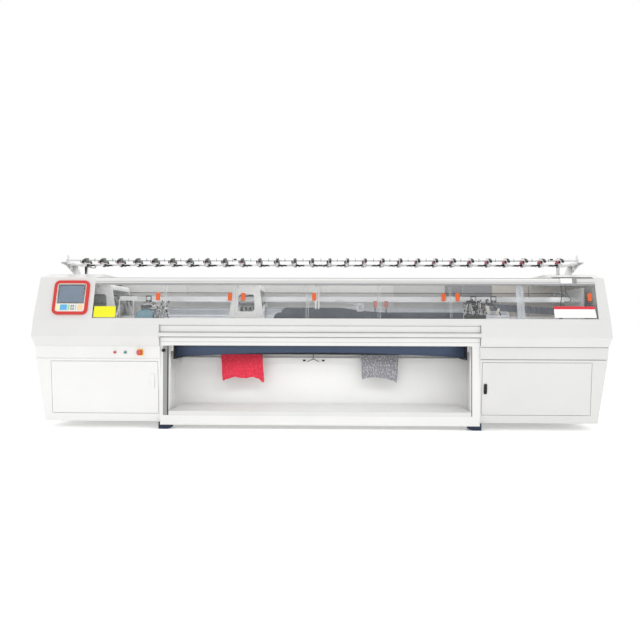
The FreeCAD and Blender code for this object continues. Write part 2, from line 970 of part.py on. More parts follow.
def window_tracks():
    across = ("-window_left", "window_right")
    belly_run = "(half_depth - sill_depth) / (sill_level - belly_level)"
    sill = [
        (f"-sill_depth - (sill_level - sill_bottom) * {belly_run}", "sill_bottom"),
        ("-sill_depth", "sill_level"),
        (sloped_front("sill_top"), "sill_top"),
    ]
    floor = "sill_top - groove_depth"
    ceiling = "head_bottom + head_groove"
    head = [
        (sloped_front("brow_level"), "brow_level"),
        (sloped_front("head_bottom + head_lip"), "head_bottom + head_lip"),
        (sloped_front("head_bottom + head_lip", "-head_lip_step"), "head_bottom + head_lip"),
        (sloped_front("head_bottom", "-head_lip_step"), "head_bottom"),
    ]
    for track in range(3):
        near = "-pane_play"
        far = "pane_thick + pane_play"
        sill += [
            (pane_front(track, "sill_top", near), "sill_top"),
            (pane_front(track, floor, near), floor),
            (pane_front(track, floor, far), floor),
            (pane_front(track, "sill_top", far), "sill_top"),
        ]
        head += [
            (pane_front(track, "head_bottom", near), "head_bottom"),
            (pane_front(track, ceiling, near), ceiling),
            (pane_front(track, ceiling, far), ceiling),
            (pane_front(track, "head_bottom", far), "head_bottom"),
        ]
    sill += [("-sill_back", "sill_top"), ("-sill_back", "sill_bottom")]
    head += [("-head_back", "head_bottom"), ("-head_back", "brow_level")]
    tracks = [prism("window_sill", "YZ", sill, *across), prism("window_head", "YZ", head, *across)]
    return node(group("window_tracks", tracks))


# The track each pane runs in, front to back, and the edge that its pull is on.
pane_tracks = [0, 2, 1, 0, 2, 1, 0]
pull_edges = [1, 1, -1, -1, 1, -1, 1]


def window_panes():
    foot = "sill_top - groove_depth + pane_foot_gap"
    top = "head_bottom + pane_entry"
    for i, (track, edge) in enumerate(zip(pane_tracks, pull_edges)):
        name = f"window_pane_{i + 1}"
        left = f"-window_left + {i} * {pane_pitch}"
        right = f"{left} + {pane_pitch}"
        glass = prism(
            f"{name}_glass",
            "YZ",
            [
                (pane_front(track, foot), foot),
                (pane_front(track, foot, "pane_thick"), foot),
                (pane_front(track, top, "pane_thick"), top),
                (pane_front(track, top), top),
            ],
            f"{left} - pane_lap / 2",
            f"{right} + pane_lap / 2",
        )
        middle = f"{right} - handle_inset" if edge > 0 else f"{left} + handle_inset"
        pull = prism(
            f"{name}_pull_block",
            "XZ",
            rectangle(
                ("-handle_width / 2", "handle_width / 2"),
                ("0", "handle_height"),
            ),
            "-handle_thick",
            "0",
            {corner: "handle_corner" for corner in range(4)},
        )
        tilt(pull, f"-atan({front_lean})", (middle, pane_front(track, "handle_level"), "handle_level"))
        node(group(name, [glass, pull]))


cover_profile = [
    ("hem_depth", "hem_level"),
    ("half_depth", "belly_level"),
    ("sill_depth", "sill_level"),
    ("brow_depth", "brow_level"),
    ("ridge_depth", "roof_level"),
]


def end_cover(side_name):
    side = sides[side_name]
    name = f"{side_name}_end_cover"
    seam = leg_outer
    upper_edge = "window_left" if side < 0 else "right_cover_edge"
    deep = ("-half_depth", "half_depth")
    across = span(side, "leg_inner", "half_length")
    profile = [(minus(y), z) for y, z in cover_profile]
    profile += [("half_depth", "roof_level"), ("half_depth", "hem_level")]
    front = [
        (seam, "hem_level"),
        ("hem_half", "hem_level"),
        ("half_length", "belly_level"),
        ("brow_half", "roof_level"),
        (upper_edge, "roof_level"),
        (upper_edge, "sill_bottom"),
        (seam, "sill_bottom"),
    ]
    outside = [
        prism(f"{name}_side_profile", "YZ", profile, *across),
        prism(f"{name}_front_outline", "XZ", sided(side, front), *deep),
    ]
    outer = common(f"{name}_outside", outside)
    wall = "cover_wall"
    inner_profile = [
        ("-hem_depth + cover_wall", "hem_level + cover_wall"),
        ("-half_depth + cover_wall", "belly_level"),
        ("-sill_depth + cover_wall", "sill_level"),
        ("-brow_depth + cover_wall", "brow_level - cover_wall / 2"),
        ("-ridge_depth", "roof_level - cover_wall"),
        ("half_depth - cover_wall", "roof_level - cover_wall"),
        ("half_depth - cover_wall", "hem_level + cover_wall"),
    ]
    inner_front = [
        ("leg_inner", f"hem_level + {wall}"),
        (f"hem_half - {wall}", f"hem_level + {wall}"),
        (f"half_length - {wall}", "belly_level"),
        (f"brow_half - {wall}", "roof_level"),
        ("leg_inner", "roof_level"),
    ]
    inside = common(
        f"{name}_inside",
        [
            prism(f"{name}_inner_profile", "YZ", inner_profile, *across),
            prism(f"{name}_inner_outline", "XZ", sided(side, inner_front), *deep),
        ],
    )
    shell = cut(f"{name}_shell", outer, [inside])
    # the return at the inner end holds the operating rod's journal
    flange_block = box(
        f"{name}_flange_block",
        span(side, seam, f"{seam} + {wall}"),
        ("-half_depth", "-rod_depth + rod_flange_back"),
        ("hem_level", "sill_bottom"),
    )
    flange = common(f"{name}_flange", [outer, flange_block])
    cutters = [
        cylinder(
            f"{name}_rod_bore",
            "x",
            ("-rod_depth", "rod_level"),
            "rod_journal + bore_gap",
            *span(side, "leg_inner", f"{seam} + 2 * {wall}"),
        )
    ]
    if side > 0:
        cutters.append(
            box(
                f"{name}_window_opening",
                ("leg_inner", "window_right"),
                ("-half_depth", "-front_opening_back"),
                ("sill_bottom", "roof_level"),
            )
        )
    return node(cut(name, fuse(f"{name}_body", [shell, flange]), cutters))


def front_cover():
    seam = leg_outer
    wall = "cover_wall"
    strip = prism(
        "fascia_strip",
        "YZ",
        [
            ("-fascia_depth", "sill_bottom"),
            ("-fascia_foot", "fascia_floor"),
            ("-beam_front", "fascia_floor"),
            ("-beam_front", "frame_top + fascia_lip"),
            (f"-beam_front - {wall}", "frame_top + fascia_lip"),
            (f"-beam_front - {wall}", f"fascia_floor + {wall}"),
            (f"-fascia_foot + {wall}", f"fascia_floor + {wall}"),
            (f"-fascia_depth + {wall}", "sill_bottom"),
        ],
        minus(seam),
        seam,
    )
    notches = [
        box(
            f"fascia_{side_name}_notch",
            span(side, "leg_inner", seam),
            ("-leg_reach", "-beam_front"),
            ("fascia_floor", "frame_top + fascia_lip"),
        )
        for side_name, side in sides.items()
    ]
    return node(cut("front_cover", strip, notches))


def rear_cover():
    wall = "cover_wall"
    strip = prism(
        "rear_cover_strip",
        "YZ",
        [
            ("beam_rear - rear_foot_lap", bed_step),
            ("beam_rear - rear_foot_lap", f"{bed_step} + {wall}"),
            ("rear_wall_front", f"{bed_step} + {wall}"),
            ("rear_wall_front", "roof_level"),
            ("half_depth", "roof_level"),
            ("half_depth", "hem_level"),
            (f"half_depth - {wall}", "hem_level"),
            (f"half_depth - {wall}", f"roof_level - {wall}"),
            (f"rear_wall_front + {wall}", f"roof_level - {wall}"),
            (f"rear_wall_front + {wall}", bed_step),
        ],
        "-window_left",
        "right_cover_edge",
    )
    behind = (f"half_depth - 2 * {wall}", "half_depth")
    low = ("hem_level", "sill_bottom")
    trims = [
        box("rear_cover_left_trim", ("-window_left", minus(leg_outer)), behind, low),
        box("rear_cover_right_trim", (leg_outer, "right_cover_edge"), behind, low),
    ]
    return node(cut("rear_cover", strip, trims))


def fabric_space():
    node(
        box(
            "back_panel",
            ("-leg_inner - panel_lap", "leg_inner + panel_lap"),
            (back_face, "panel_depth"),
            (rail_top, "frame_top - leg_tube"),
        )
    )
    floor_top = f"{rail_top} + tray_sheet"
    rear = f"{back_face} - tray_sheet"
    tray = [
        ("-leg_reach - tray_sheet", f"{floor_top} - tray_drop"),
        ("-leg_reach - tray_sheet", floor_top),
        (rear, floor_top),
        (rear, f"{rail_top} + tray_upstand"),
        (back_face, f"{rail_top} + tray_upstand"),
        (back_face, rail_top),
        ("-leg_reach", rail_top),
        ("-leg_reach", f"{floor_top} - tray_drop"),
    ]
    node(prism("fabric_tray", "YZ", tray, "-leg_inner", "leg_inner"))


door_rise = "seam_top - seam_width - cabinet_floor"
door_lean = f"(cabinet_depth - cabinet_foot_depth) / ({door_rise})"


# The pieces of a door are drawn upright, with the hinge line at the origin, and then leaned forward.
def lean_door(item, side):
    foot = "cabinet_floor + door_foot"
    face = f"-cabinet_foot_depth - door_foot * ({door_lean})"
    return tilt(item, f"atan({door_lean})", ("door_hinge" if side > 0 else "-door_hinge", face, foot))


# A span measured from the hinge side of a door towards the machine's middle
def door_span(side, low, high):
    return span(-side, low, high)


def cabinet_with_door(side_name):
    side = sides[side_name]
    name = f"{side_name}_cabinet"
    seam = leg_outer
    seam_foot = "seam_top - seam_width"
    deep = ("-band_depth", "cabinet_rear")
    across = span(side, seam, "band_half")
    profile = [
        ("-band_depth", "hem_level"),
        ("-band_depth", "seam_top"),
        ("-band_depth + seam_depth", "seam_top"),
        ("-band_depth + seam_depth", seam_foot),
        ("-cabinet_depth", seam_foot),
        ("-cabinet_foot_depth", "cabinet_floor"),
        ("cabinet_rear", "cabinet_floor"),
        ("cabinet_rear", "hem_level"),
    ]
    front = [
        (seam, "hem_level"),
        ("band_half", "hem_level"),
        ("band_foot_half", "seam_top"),
        ("band_foot_half - seam_depth", "seam_top"),
        ("band_foot_half - seam_depth", seam_foot),
        ("cabinet_half", seam_foot),
        ("cabinet_foot_half", "cabinet_floor"),
        (seam, "cabinet_floor"),
    ]
    outer = common(
        f"{name}_outside",
        [
            prism(f"{name}_side_profile", "YZ", profile, *across),
            prism(f"{name}_front_outline", "XZ", sided(side, front), *deep),
        ],
    )
    wall = "cabinet_wall"
    inner_profile = [
        ("-band_depth + cabinet_front_wall", f"hem_level - {wall}"),
        ("-cabinet_depth + cabinet_front_wall", seam_foot),
        ("-cabinet_foot_depth + cabinet_front_wall", f"cabinet_floor + {wall}"),
        (f"cabinet_rear - {wall}", f"cabinet_floor + {wall}"),
        (f"cabinet_rear - {wall}", f"hem_level - {wall}"),
    ]
    inner_front = [
        (f"{seam} + {wall}", f"hem_level - {wall}"),
        (f"band_foot_half - seam_depth - {wall}", f"hem_level - {wall}"),
        (f"band_foot_half - seam_depth - {wall}", seam_foot),
        (f"cabinet_foot_half - {wall}", f"cabinet_floor + {wall}"),
        (f"{seam} + {wall}", f"cabinet_floor + {wall}"),
    ]
    inside = common(
        f"{name}_inside",
        [
            prism(f"{name}_inner_profile", "YZ", inner_profile, *across),
            prism(f"{name}_inner_outline", "XZ", sided(side, inner_front), *deep),
        ],
    )
    opening = box(
        f"{name}_opening",
        door_span(side, "-door_gap", "door_width + door_gap"),
        ("-door_thick", "cabinet_front_wall * 2"),
        ("-door_gap", "door_height + door_gap"),
    )
    hinge_centre = ("hinge_inset" if side < 0 else "-hinge_inset", "hinge_inset")
    hinge_bore = cylinder(
        f"{name}_hinge_bore",
        "z",
        hinge_centre,
        "hinge_radius + bore_gap",
        "-hinge_length - bore_gap",
        "door_height + hinge_length + bore_gap",
    )
    doorway = lean_door(fuse(f"{name}_doorway", [opening, hinge_bore]), side)
    cutters = [inside, doorway]
    if side < 0:
        holes = {
            "red_button_hole": ("red_button_place", "button_radius + button_gap"),
            "green_button_hole": ("green_button_place", "button_radius + button_gap"),
            "stop_hole": ("stop_place", "stop_stem + button_gap"),
        }
        behind_band = "-band_depth + 2 * cabinet_front_wall"
        for hole, (place, radius) in holes.items():
            centre = (place, "button_level")
            cutters.append(cylinder(hole, "y", centre, radius, "-band_depth", behind_band))
    node(cut(name, outer, cutters))
    door(side_name, hinge_centre)


def door(side_name, hinge_centre):
    side = sides[side_name]
    name = f"{side_name}_door"
    slab = box(f"{name}_slab", door_span(side, "0", "door_width"), ("0", "door_thick"), ("0", "door_height"))
    pins = cylinder(
        f"{name}_hinge_pin", "z", hinge_centre, "hinge_radius", "-hinge_length", "door_height + hinge_length"
    )
    inset = f"{side_name}_lock_inset"
    lock_middle = f"door_width - {inset}"
    lock_x = lock_middle if side < 0 else minus(lock_middle)
    lock_z = f"{side_name}_lock_level"
    bore_radius = "spindle_radius + bore_gap"
    bore = cylinder(f"{name}_lock_bore", "y", (lock_x, lock_z), bore_radius, "0", "door_thick")
    leaf = cut(name, fuse(f"{name}_leaf", [slab, pins]), [bore])
    node(lean_door(leaf, side))
    lock = f"{side_name}_door_lock"
    half_width = f"{side_name}_lock_width / 2"
    half_height = f"{side_name}_lock_height / 2"
    grip = prism(
        f"{lock}_grip",
        "XZ",
        rectangle(
            (f"{lock_x} - {half_width}", f"{lock_x} + {half_width}"),
            (f"{lock_z} - {half_height}", f"{lock_z} + {half_height}"),
        ),
        "-lock_thick - turning_gap",
        "-turning_gap",
        {corner: "lock_corner" for corner in range(4)},
    )
    tongue_front = "cabinet_front_wall + tongue_gap"
    spindle = cylinder(
        f"{lock}_spindle", "y", (lock_x, lock_z), "spindle_radius", "-turning_gap", tongue_front
    )
    tongue = box(
        f"{lock}_tongue",
        (f"{lock_x} - tongue_width / 2", f"{lock_x} + tongue_width / 2"),
        (tongue_front, f"{tongue_front} + tongue_sheet"),
        (f"{lock_z} - {inset} - door_gap - tongue_lap", f"{lock_z} + tongue_width / 2"),
    )
    node(lean_door(fuse(lock, [grip, spindle, tongue]), side))


def buttons():
    for name in ("red", "green"):
        place = (f"{name}_button_place", "button_level")
        front = "-band_depth - button_stand"
        back = "-band_depth + cabinet_front_wall"
        node(cylinder(f"{name}_button", "y", place, "button_radius", front, back))
    place = ("stop_place", "button_level")
    plate_front = "-band_depth - stop_plate_thick"
    plate = prism(
        "stop_plate",
        "XZ",
        rectangle(
            ("stop_place - stop_plate_half", "stop_place + stop_plate_half"),
            ("button_level - stop_plate_half", "button_level + stop_plate_half"),
        ),
        plate_front,
        "-band_depth",
        {corner: "stop_plate_corner" for corner in range(4)},
    )
    hole_radius = "stop_stem + button_gap"
    stem_hole = cylinder("stop_plate_hole", "y", place, hole_radius, plate_front, "-band_depth")
    node(cut("stop_button_plate", plate, [stem_hole]))
    cap_back = f"{plate_front} - stop_travel_gap"
    cap = cylinder("stop_cap_disc", "y", place, "stop_radius", f"{cap_back} - stop_cap", cap_back)
    stem_back = "-band_depth + cabinet_front_wall"
    stem = cylinder("stop_stem_rod", "y", place, "stop_stem", cap_back, stem_back)
    node(fuse("stop_button", [cap, stem]))
    knob_place = ("leg_knob_place", "leg_knob_level")
    node(
        cylinder(
            "leg_knob",
            "y",
            knob_place,
            "leg_knob_radius",
            "-leg_reach - leg_knob_length",
            "-leg_reach - turning_gap",
        )
    )


def operating_rod():
    centre = ("-rod_depth", "rod_level")
    end = f"{leg_outer} - rod_end_gap"
    pieces = [cylinder("rod_tube", "x", centre, "rod_radius", minus(end), end)]
    for side_name, side in sides.items():
        cap = span(side, f"{end} - rod_cap", end)
        pieces.append(cylinder(f"rod_{side_name}_cap", "x", centre, "rod_cap_radius", *cap))
        journal = span(side, f"{end} - rod_cap", f"{leg_outer} + cover_wall")
        pieces.append(cylinder(f"rod_{side_name}_journal", "x", centre, "rod_journal", *journal))
    return node(fuse("operating_rod", pieces))


roller_places = {
    "takedown_roller": ("-nip_depth - cloth_thick / 2 - nip_gap - takedown_radius", "takedown_radius"),
    "press_roller": ("-nip_depth + cloth_thick / 2 + nip_gap + press_radius", "press_radius"),
}


def take_down():
    face = "leg_inner - roller_bracket"
    bore_radius = "roller_shaft + bore_gap"
    brackets = []
    for side_name, side in sides.items():
        across = span(side, face, "leg_inner")
        deep = ("-bracket_front", "bracket_back")
        plate = box(f"{side_name}_roller_plate", across, deep, ("bracket_foot", "bracket_head"))
        bores = [
            cylinder(f"{side_name}_{name}_bore", "x", (place, "nip_level"), bore_radius, *across)
            for name, (place, radius) in roller_places.items()
        ]
        brackets.append(cut(f"{side_name}_roller_bracket", plate, bores))
    node(group("roller_brackets", brackets))
    drum_end = f"{face} - roller_end_gap"
    shaft_end = "leg_inner - roller_end_gap"
    for name, (place, radius) in roller_places.items():
        centre = (place, "nip_level")
        drum = cylinder(f"{name}_drum", "x", centre, radius, minus(drum_end), drum_end)
        shaft = cylinder(f"{name}_shaft", "x", centre, "roller_shaft", minus(shaft_end), shaft_end)
        node(fuse(name, [drum, shaft]))
    # the apron's lower edge is one long arc, highest in the middle
    deep = ("-apron_depth", "-apron_depth + apron_cloth")
    cloth = box("apron_cloth_sheet", (minus(face), face), deep, ("apron_foot", "fascia_floor"))
    arc_radius = f"(({face}) * ({face}) + apron_rise * apron_rise) / (2 * apron_rise)"
    arc = cylinder(
        "apron_arc",
        "y",
        ("0", f"apron_foot + apron_rise - {arc_radius}"),
        arc_radius,
        *deep,
    )
    node(cut("takedown_apron", cloth, [arc]))


def touch_panel():
    half_width = "panel_width / 2"
    half_height = "panel_height / 2"
    angle = f"-atan({front_lean})"
    place = ("panel_place", sloped_front("panel_level"), "panel_level")

    def plate(name, width, height, rise, front, back, corner):
        outline = rectangle((minus(width), width), (f"{rise} - ({height})", f"{rise} + ({height})"))
        rounds = {i: corner for i in range(4)} if corner else None
        return prism(name, "XZ", outline, front, back, rounds)

    inner_width = f"{half_width} - panel_ring"
    inner_height = f"{half_height} - panel_ring"
    inner_corner = "panel_corner - panel_ring"
    outer = plate("bezel_outside", half_width, half_height, "0", "-panel_stand", "0", "panel_corner")
    hole = plate("bezel_inside", inner_width, inner_height, "0", "-panel_stand", "0", inner_corner)
    node(tilt(cut("panel_bezel", outer, [hole]), angle, place))
    face_front = "-panel_face_thick"
    face = plate("panel_face_plate", inner_width, inner_height, "0", face_front, "0", inner_corner)
    well_back = f"{face_front} + screen_thick"
    size = ("screen_width / 2", "screen_height / 2", "screen_rise")
    well = plate("screen_well", *size, face_front, well_back, None)
    node(tilt(cut("panel_face", face, [well]), angle, place))
    node(tilt(plate("panel_screen", *size, face_front, well_back, None), angle, place))


def tension_frame():
    across = ("-tension_rail_end", "tension_rail_end")
    levels = {"upper": "upper_rail_level", "lower": "lower_rail_level"}
    rails = [
        cylinder(f"{name}_tension_rail", "x", ("0", level), "tension_rail_radius", *across)
        for name, level in levels.items()
    ]
    node(group("tension_rails", rails))
    hole = "tension_rail_radius + bore_gap"
    supports = []
    for side_name, side in sides.items():
        supports.append(
            box(
                f"{side_name}_post",
                span(side, "unit_reach - post_half", "unit_reach + post_half"),
                ("-post_depth", "post_depth"),
                ("roof_level", "lower_rail_level - unit_block_margin"),
            )
        )
        gusset_span = span(side, "gusset_place", "gusset_place + gusset_sheet")
        web = prism(
            f"{side_name}_gusset_web",
            "YZ",
            [
                ("-gusset_front", "gusset_top - gusset_nose"),
                ("-gusset_knee", "gusset_top - gusset_nose"),
                ("gusset_foot_front", "roof_level"),
                ("gusset_foot_back", "roof_level"),
                ("gusset_back", "gusset_top"),
                ("-gusset_front", "gusset_top"),
            ],
            *gusset_span,
        )
        flange = box(
            f"{side_name}_gusset_flange",
            span(side, "gusset_place + gusset_sheet - gusset_flange", "gusset_place + gusset_sheet"),
            ("-gusset_front", "gusset_back"),
            ("gusset_top", "gusset_top + gusset_flange_sheet"),
        )
        rail_stop = box(
            f"{side_name}_rail_stop",
            gusset_span,
            ("-post_depth", "post_depth"),
            ("gusset_top", "gusset_top + rail_stop_height"),
        )
        gusset_bores = [
            cylinder(
                f"{side_name}_gusset_{name}_bore",
                "x",
                ("0", level),
                hole,
                *span(side, "gusset_place - gusset_flange", "gusset_place + gusset_sheet"),
            )
            for name, level in levels.items()
        ]
        weld = fuse(f"{side_name}_gusset_weld", [web, flange, rail_stop])
        supports.append(cut(f"{side_name}_gusset", weld, gusset_bores))
    node(group("rail_supports", supports))


# Each unit clamps both rails: a half-round hood on its right, a long grip on its left and an arm.
def tension_units():
    hole = "tension_rail_radius + bore_gap"
    hood_half = "(hood_front + hood_back) / 2"
    hood_radius = f"({hood_half} * {hood_half} + hood_height * hood_height) / (2 * hood_height)"
    hood_centre = ("(hood_back - hood_front) / 2", f"hood_foot + hood_height - {hood_radius}")
    blocks, hoods, knobs, arms = [], [], [], []
    tall = ("lower_rail_level - unit_block_margin", "upper_rail_level + unit_block_margin")
    for i in range(sizes["unit_count"]):
        number = i + 1
        middle = f"-unit_reach + {i} * {unit_pitch}"
        left, right = f"{middle} - unit_block_half", f"{middle} + unit_block_half"
        block = box(
            f"tension_block_{number}_bar", (left, right), ("-unit_block_depth", "unit_block_depth"), tall
        )
        bores = [
            cylinder(f"tension_block_{number}_{name}", "x", ("0", level), hole, left, right)
            for name, level in {"upper": "upper_rail_level", "lower": "lower_rail_level"}.items()
        ]
        blocks.append(cut(f"tension_block_{number}", block, bores))
        hood_end = f"{right} + hood_thick"
        disc = cylinder(f"tension_dome_{number}_disc", "x", hood_centre, hood_radius, right, hood_end)
        below = box(
            f"tension_dome_{number}_below",
            (right, hood_end),
            (f"{hood_centre[0]} - {hood_radius}", f"{hood_centre[0]} + {hood_radius}"),
            (f"{hood_centre[1]} - {hood_radius}", "hood_foot"),
        )
        rail_hole = cylinder(
            f"tension_dome_{number}_hole",
            "x",
            ("0", "upper_rail_level"),
            "tension_rail_radius + hood_bore_gap",
            right,
            hood_end,
        )
        hoods.append(cut(f"tension_dome_{number}", disc, [below, rail_hole]))
        knob_centre = ("-knob_depth", "knob_level")
        knob_end = f"{left} - knob_length"
        grip = prism(
            f"tension_knob_{number}_grip",
            "YZ",
            rectangle(
                ("-knob_depth - knob_reach", "-knob_depth + knob_reach"),
                ("knob_level - knob_half_height", "knob_level + knob_half_height"),
            ),
            knob_end,
            left,
            {corner: "knob_corner" for corner in range(4)},
        )
        boss = cylinder(
            f"tension_knob_{number}_boss",
            "x",
            knob_centre,
            "knob_boss_radius",
            f"{knob_end} - knob_boss",
            knob_end,
        )
        knobs.append(fuse(f"tension_knob_{number}", [grip, boss]))
        inward = 1 if i < sizes["unit_count"] / 2 else -1
        root = right if inward > 0 else left
        tip = f"{root} + {inward} * arm_reach"
        arm_outline = [
            (root, "arm_level - arm_height"),
            (root, "arm_level"),
            (tip, "arm_level - arm_droop"),
            (tip, "arm_level - arm_height"),
        ]
        arms.append(
            prism(f"takeup_arm_{number}", "XZ", arm_outline, "-arm_front", "-arm_front + arm_thick")
        )
    node(group("tension_blocks", blocks))
    node(group("tension_domes", hoods))
    node(group("tension_knobs", knobs))
    node(group("takeup_arms", arms))


def control_box():
    floor = "cabinet_floor + cabinet_wall"
    node(
        box(
            "control_box",
            ("box_left", "box_right"),
            ("-box_half_depth", "box_half_depth"),
            (floor, f"{floor} + box_height"),
        )
    )


# A stiff forked wire hangs from the beam's underside, between two sensor heads on the upper rear rail.
def fabric_sensor():
    wire = "sensor_wire"
    deep = ("sensor_depth - sensor_wire", "sensor_depth")
    low = "sensor_fork_level - sensor_drop"
    fork = prism(
        "sensor_fork",
        "XZ",
        [
            (f"sensor_place - {wire} / 2", "frame_top"),
            (f"sensor_place - {wire} / 2", "sensor_fork_level"),
            ("sensor_place - sensor_spread", f"{low} + {wire}"),
            ("sensor_place - sensor_spread", low),
            ("sensor_place", f"sensor_fork_level - {wire}"),
            ("sensor_place + sensor_spread", low),
            ("sensor_place + sensor_spread", f"{low} + {wire}"),
            (f"sensor_place + {wire} / 2", "sensor_fork_level"),
            (f"sensor_place + {wire} / 2", "frame_top"),
        ],
        *deep,
    )
    rail_front = f"{back_face} - rear_rail_depth"
    heads = [
        box(
            f"sensor_{name}_head",
            (f"sensor_{name}_head - sensor_head_length / 2", f"sensor_{name}_head + sensor_head_length / 2"),
            (f"{rail_front} - sensor_head_depth", rail_front),
            ("sensor_head_level", "sensor_head_level + sensor_head_height"),
        )
        for name in ("left", "right")
    ]
    node(group("fabric_sensor", [fork] + heads))


# One closed section of hanging cloth: flat where it leaves the nip, and in arcs where it folds.
def cloth_section(left, right, middle, level, folds, depth, thick):
    step = (right - left) / folds
    front, back = [], []
    for i in range(folds):
        start = left + i * step
        swing = depth if i % 2 else -depth
        for edges, y in ((front, middle - thick / 2), (back, middle + thick / 2)):
            a = Vector(start, y, level)
            b = Vector(start + step, y, level)
            if depth:
                edges.append(Part.Arc(a, Vector(start + step / 2, y + swing, level), b).toShape())
            else:
                edges.append(Part.LineSegment(a, b).toShape())
    ends = [
        Part.LineSegment(
            Vector(x, middle - thick / 2, level), Vector(x, middle + thick / 2, level)
        ).toShape()
        for x in (right, left)
    ]
    return Part.Wire(Part.__sortEdges__(front + [ends[0]] + back + [ends[1]]))


# A knitted piece comes down from the needles, through the nip, and hangs in folds.
# hem lists the lower edge: shares of the width, and of the wave's height above its lowest point.
def knitted_sample(name, hem):
    left, right, end = (sizes[f"{name}_{word}"] for word in ("left", "right", "end"))
    folds = sizes[f"{name}_folds"]
    thick = sizes["cloth_thick"]
    nip = -sizes["nip_depth"]
    fold_start = sizes["nip_level"] - sizes["fold_start_drop"]
    middle_level = (fold_start + end) / 2
    depth = sizes["fold_depth"]
    sections = [
        cloth_section(left, right, nip, level, folds, swing, thick)
        for level, swing in ((fold_start, 0), (middle_level, depth / 2), (end, depth))
    ]
    drape = Part.makeLoft(sections, True, True)
    entry = sizes["nip_level"] + sizes["sample_entry"]
    top = sizes["bed_crest"] - sizes["sample_top_drop"]
    strip_points = [
        (nip - thick / 2, fold_start),
        (nip + thick / 2, fold_start),
        (nip + thick / 2, entry),
        (thick / 2, top),
        (-thick / 2, top),
        (nip - thick / 2, entry),
    ]
    strip_corners = [Vector(left, y, z) for y, z in strip_points]
    strip_face = Part.Face(Part.makePolygon(strip_corners + strip_corners[:1]))
    strip = strip_face.extrude(Vector(right - left, 0, 0))
    width = right - left
    reach = sizes["half_depth"]
    wave = sizes["hem_wave"]
    hem_corners = [Vector(left + share * width, -reach, end + rise * wave) for share, rise in hem]
    hem_corners += [
        Vector(right + width, -reach, hem_corners[-1].z),
        Vector(right + width, -reach, end - width),
        Vector(left - width, -reach, end - width),
        Vector(left - width, -reach, hem_corners[0].z),
    ]
    below = Part.Face(Part.makePolygon(hem_corners + hem_corners[:1])).extrude(Vector(0, 2 * reach, 0))
    item = doc.addObject("Part::Feature", f"{name}_sample")
    item.Shape = drape.cut(below).fuse(strip).removeSplitter()
    return node(label(item, f"{name}_sample"))


leg_frames()
cross_rails()
levelling_feet()
main_beam()
needle_bed("front_needle_bed", -1, "0")
needle_bed("rear_needle_bed", 1, "rack_gap")
carriage_rails()
feeder_rails()
carriage_heads()
carriage_bridges()
feeder_set("left_feeders", "left_feeder_place")
feeder_set("right_feeders", "right_feeder_place")
belt_drive()
cable_chain()
window_tracks()
window_panes()
end_cover("left")
end_cover("right")
front_cover()
rear_cover()
fabric_space()
cabinet_with_door("left")
cabinet_with_door("right")
buttons()
operating_rod()
take_down()
touch_panel()
tension_frame()
tension_units()
control_box()
fabric_sensor()
doc.recompute()
red_hem = [(0, 0), (0.12, 0.54), (0.3, 0.85), (0.45, 0.46), (0.62, 0.92), (0.86, 0.62), (1, 0.08)]
grey_hem = [(0, 1), (0.2, 0.54), (0.45, 0.77), (0.7, 1), (0.88, 0.62), (1, 0)]
knitted_sample("red", red_hem)
knitted_sample("grey", grey_hem)
doc.recompute()

for item in doc.Objects:
    if "Invalid" in item.State or "Error" in item.State:
        raise RuntimeError(f"{item.Label} failed: {item.State}")
for item in nodes:
    if item.Shape.isNull() or not item.Shape.isValid() or not item.Shape.Solids:
        raise RuntimeError(f"{item.Label} has no valid solid")

os.makedirs("parts", exist_ok=True)
for item in nodes:
    item.Shape.exportStep(f"parts/{item.Label}.step")
print(f"{len(nodes)} nodes written")
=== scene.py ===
import json
import math
import random

import bmesh
import bpy
from mathutils import Matrix, Vector, noise


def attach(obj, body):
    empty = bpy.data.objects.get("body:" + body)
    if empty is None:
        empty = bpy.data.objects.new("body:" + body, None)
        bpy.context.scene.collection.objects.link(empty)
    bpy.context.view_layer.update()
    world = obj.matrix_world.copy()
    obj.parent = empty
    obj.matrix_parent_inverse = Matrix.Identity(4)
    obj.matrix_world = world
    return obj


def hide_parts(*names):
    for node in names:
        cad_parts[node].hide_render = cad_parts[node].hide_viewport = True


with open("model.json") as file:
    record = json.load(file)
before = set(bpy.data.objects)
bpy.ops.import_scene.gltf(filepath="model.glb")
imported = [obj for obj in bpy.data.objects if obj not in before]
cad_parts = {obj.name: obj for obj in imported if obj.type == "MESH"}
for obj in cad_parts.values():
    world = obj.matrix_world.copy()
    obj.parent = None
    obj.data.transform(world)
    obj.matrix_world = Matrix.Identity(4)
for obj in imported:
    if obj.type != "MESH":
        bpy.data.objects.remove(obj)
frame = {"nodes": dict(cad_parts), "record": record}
nodes = frame["nodes"]
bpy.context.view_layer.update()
random.seed(11)

# Flat knitting machine. New pieces are drawn in millimetres and brought to metres when they are added.

view = {
    "place": (0.1066, -5.6043, 0.8902), "yaw": 1.115, "pitch": 0.488, "roll": 0.167, "lens": 34.43, "far": 60,
}


def link(name, data):
    made = bpy.data.objects.new(name, data)
    bpy.context.scene.collection.objects.link(made)
    return made


def addCamera():
    data = bpy.data.cameras.new("photoCamera")
    data.lens = view["lens"]
    data.clip_end = view["far"]
    camera = link("photoCamera", data)
    yaw, pitch, roll = (math.radians(view[turn]) for turn in ("yaw", "pitch", "roll"))
    ahead = Vector((-math.sin(yaw) * math.cos(pitch), math.cos(yaw) * math.cos(pitch), math.sin(pitch)))
    across = Vector((math.cos(yaw), math.sin(yaw), 0))
    above = across.cross(ahead)
    right = across * math.cos(roll) + above * math.sin(roll)
    up = above * math.cos(roll) - across * math.sin(roll)
    turn = Matrix((right, up, -ahead)).transposed().to_4x4()
    camera.matrix_world = Matrix.Translation(view["place"]) @ turn
    bpy.context.scene.camera = camera


addCamera()
print("camera set")


# Shader building blocks

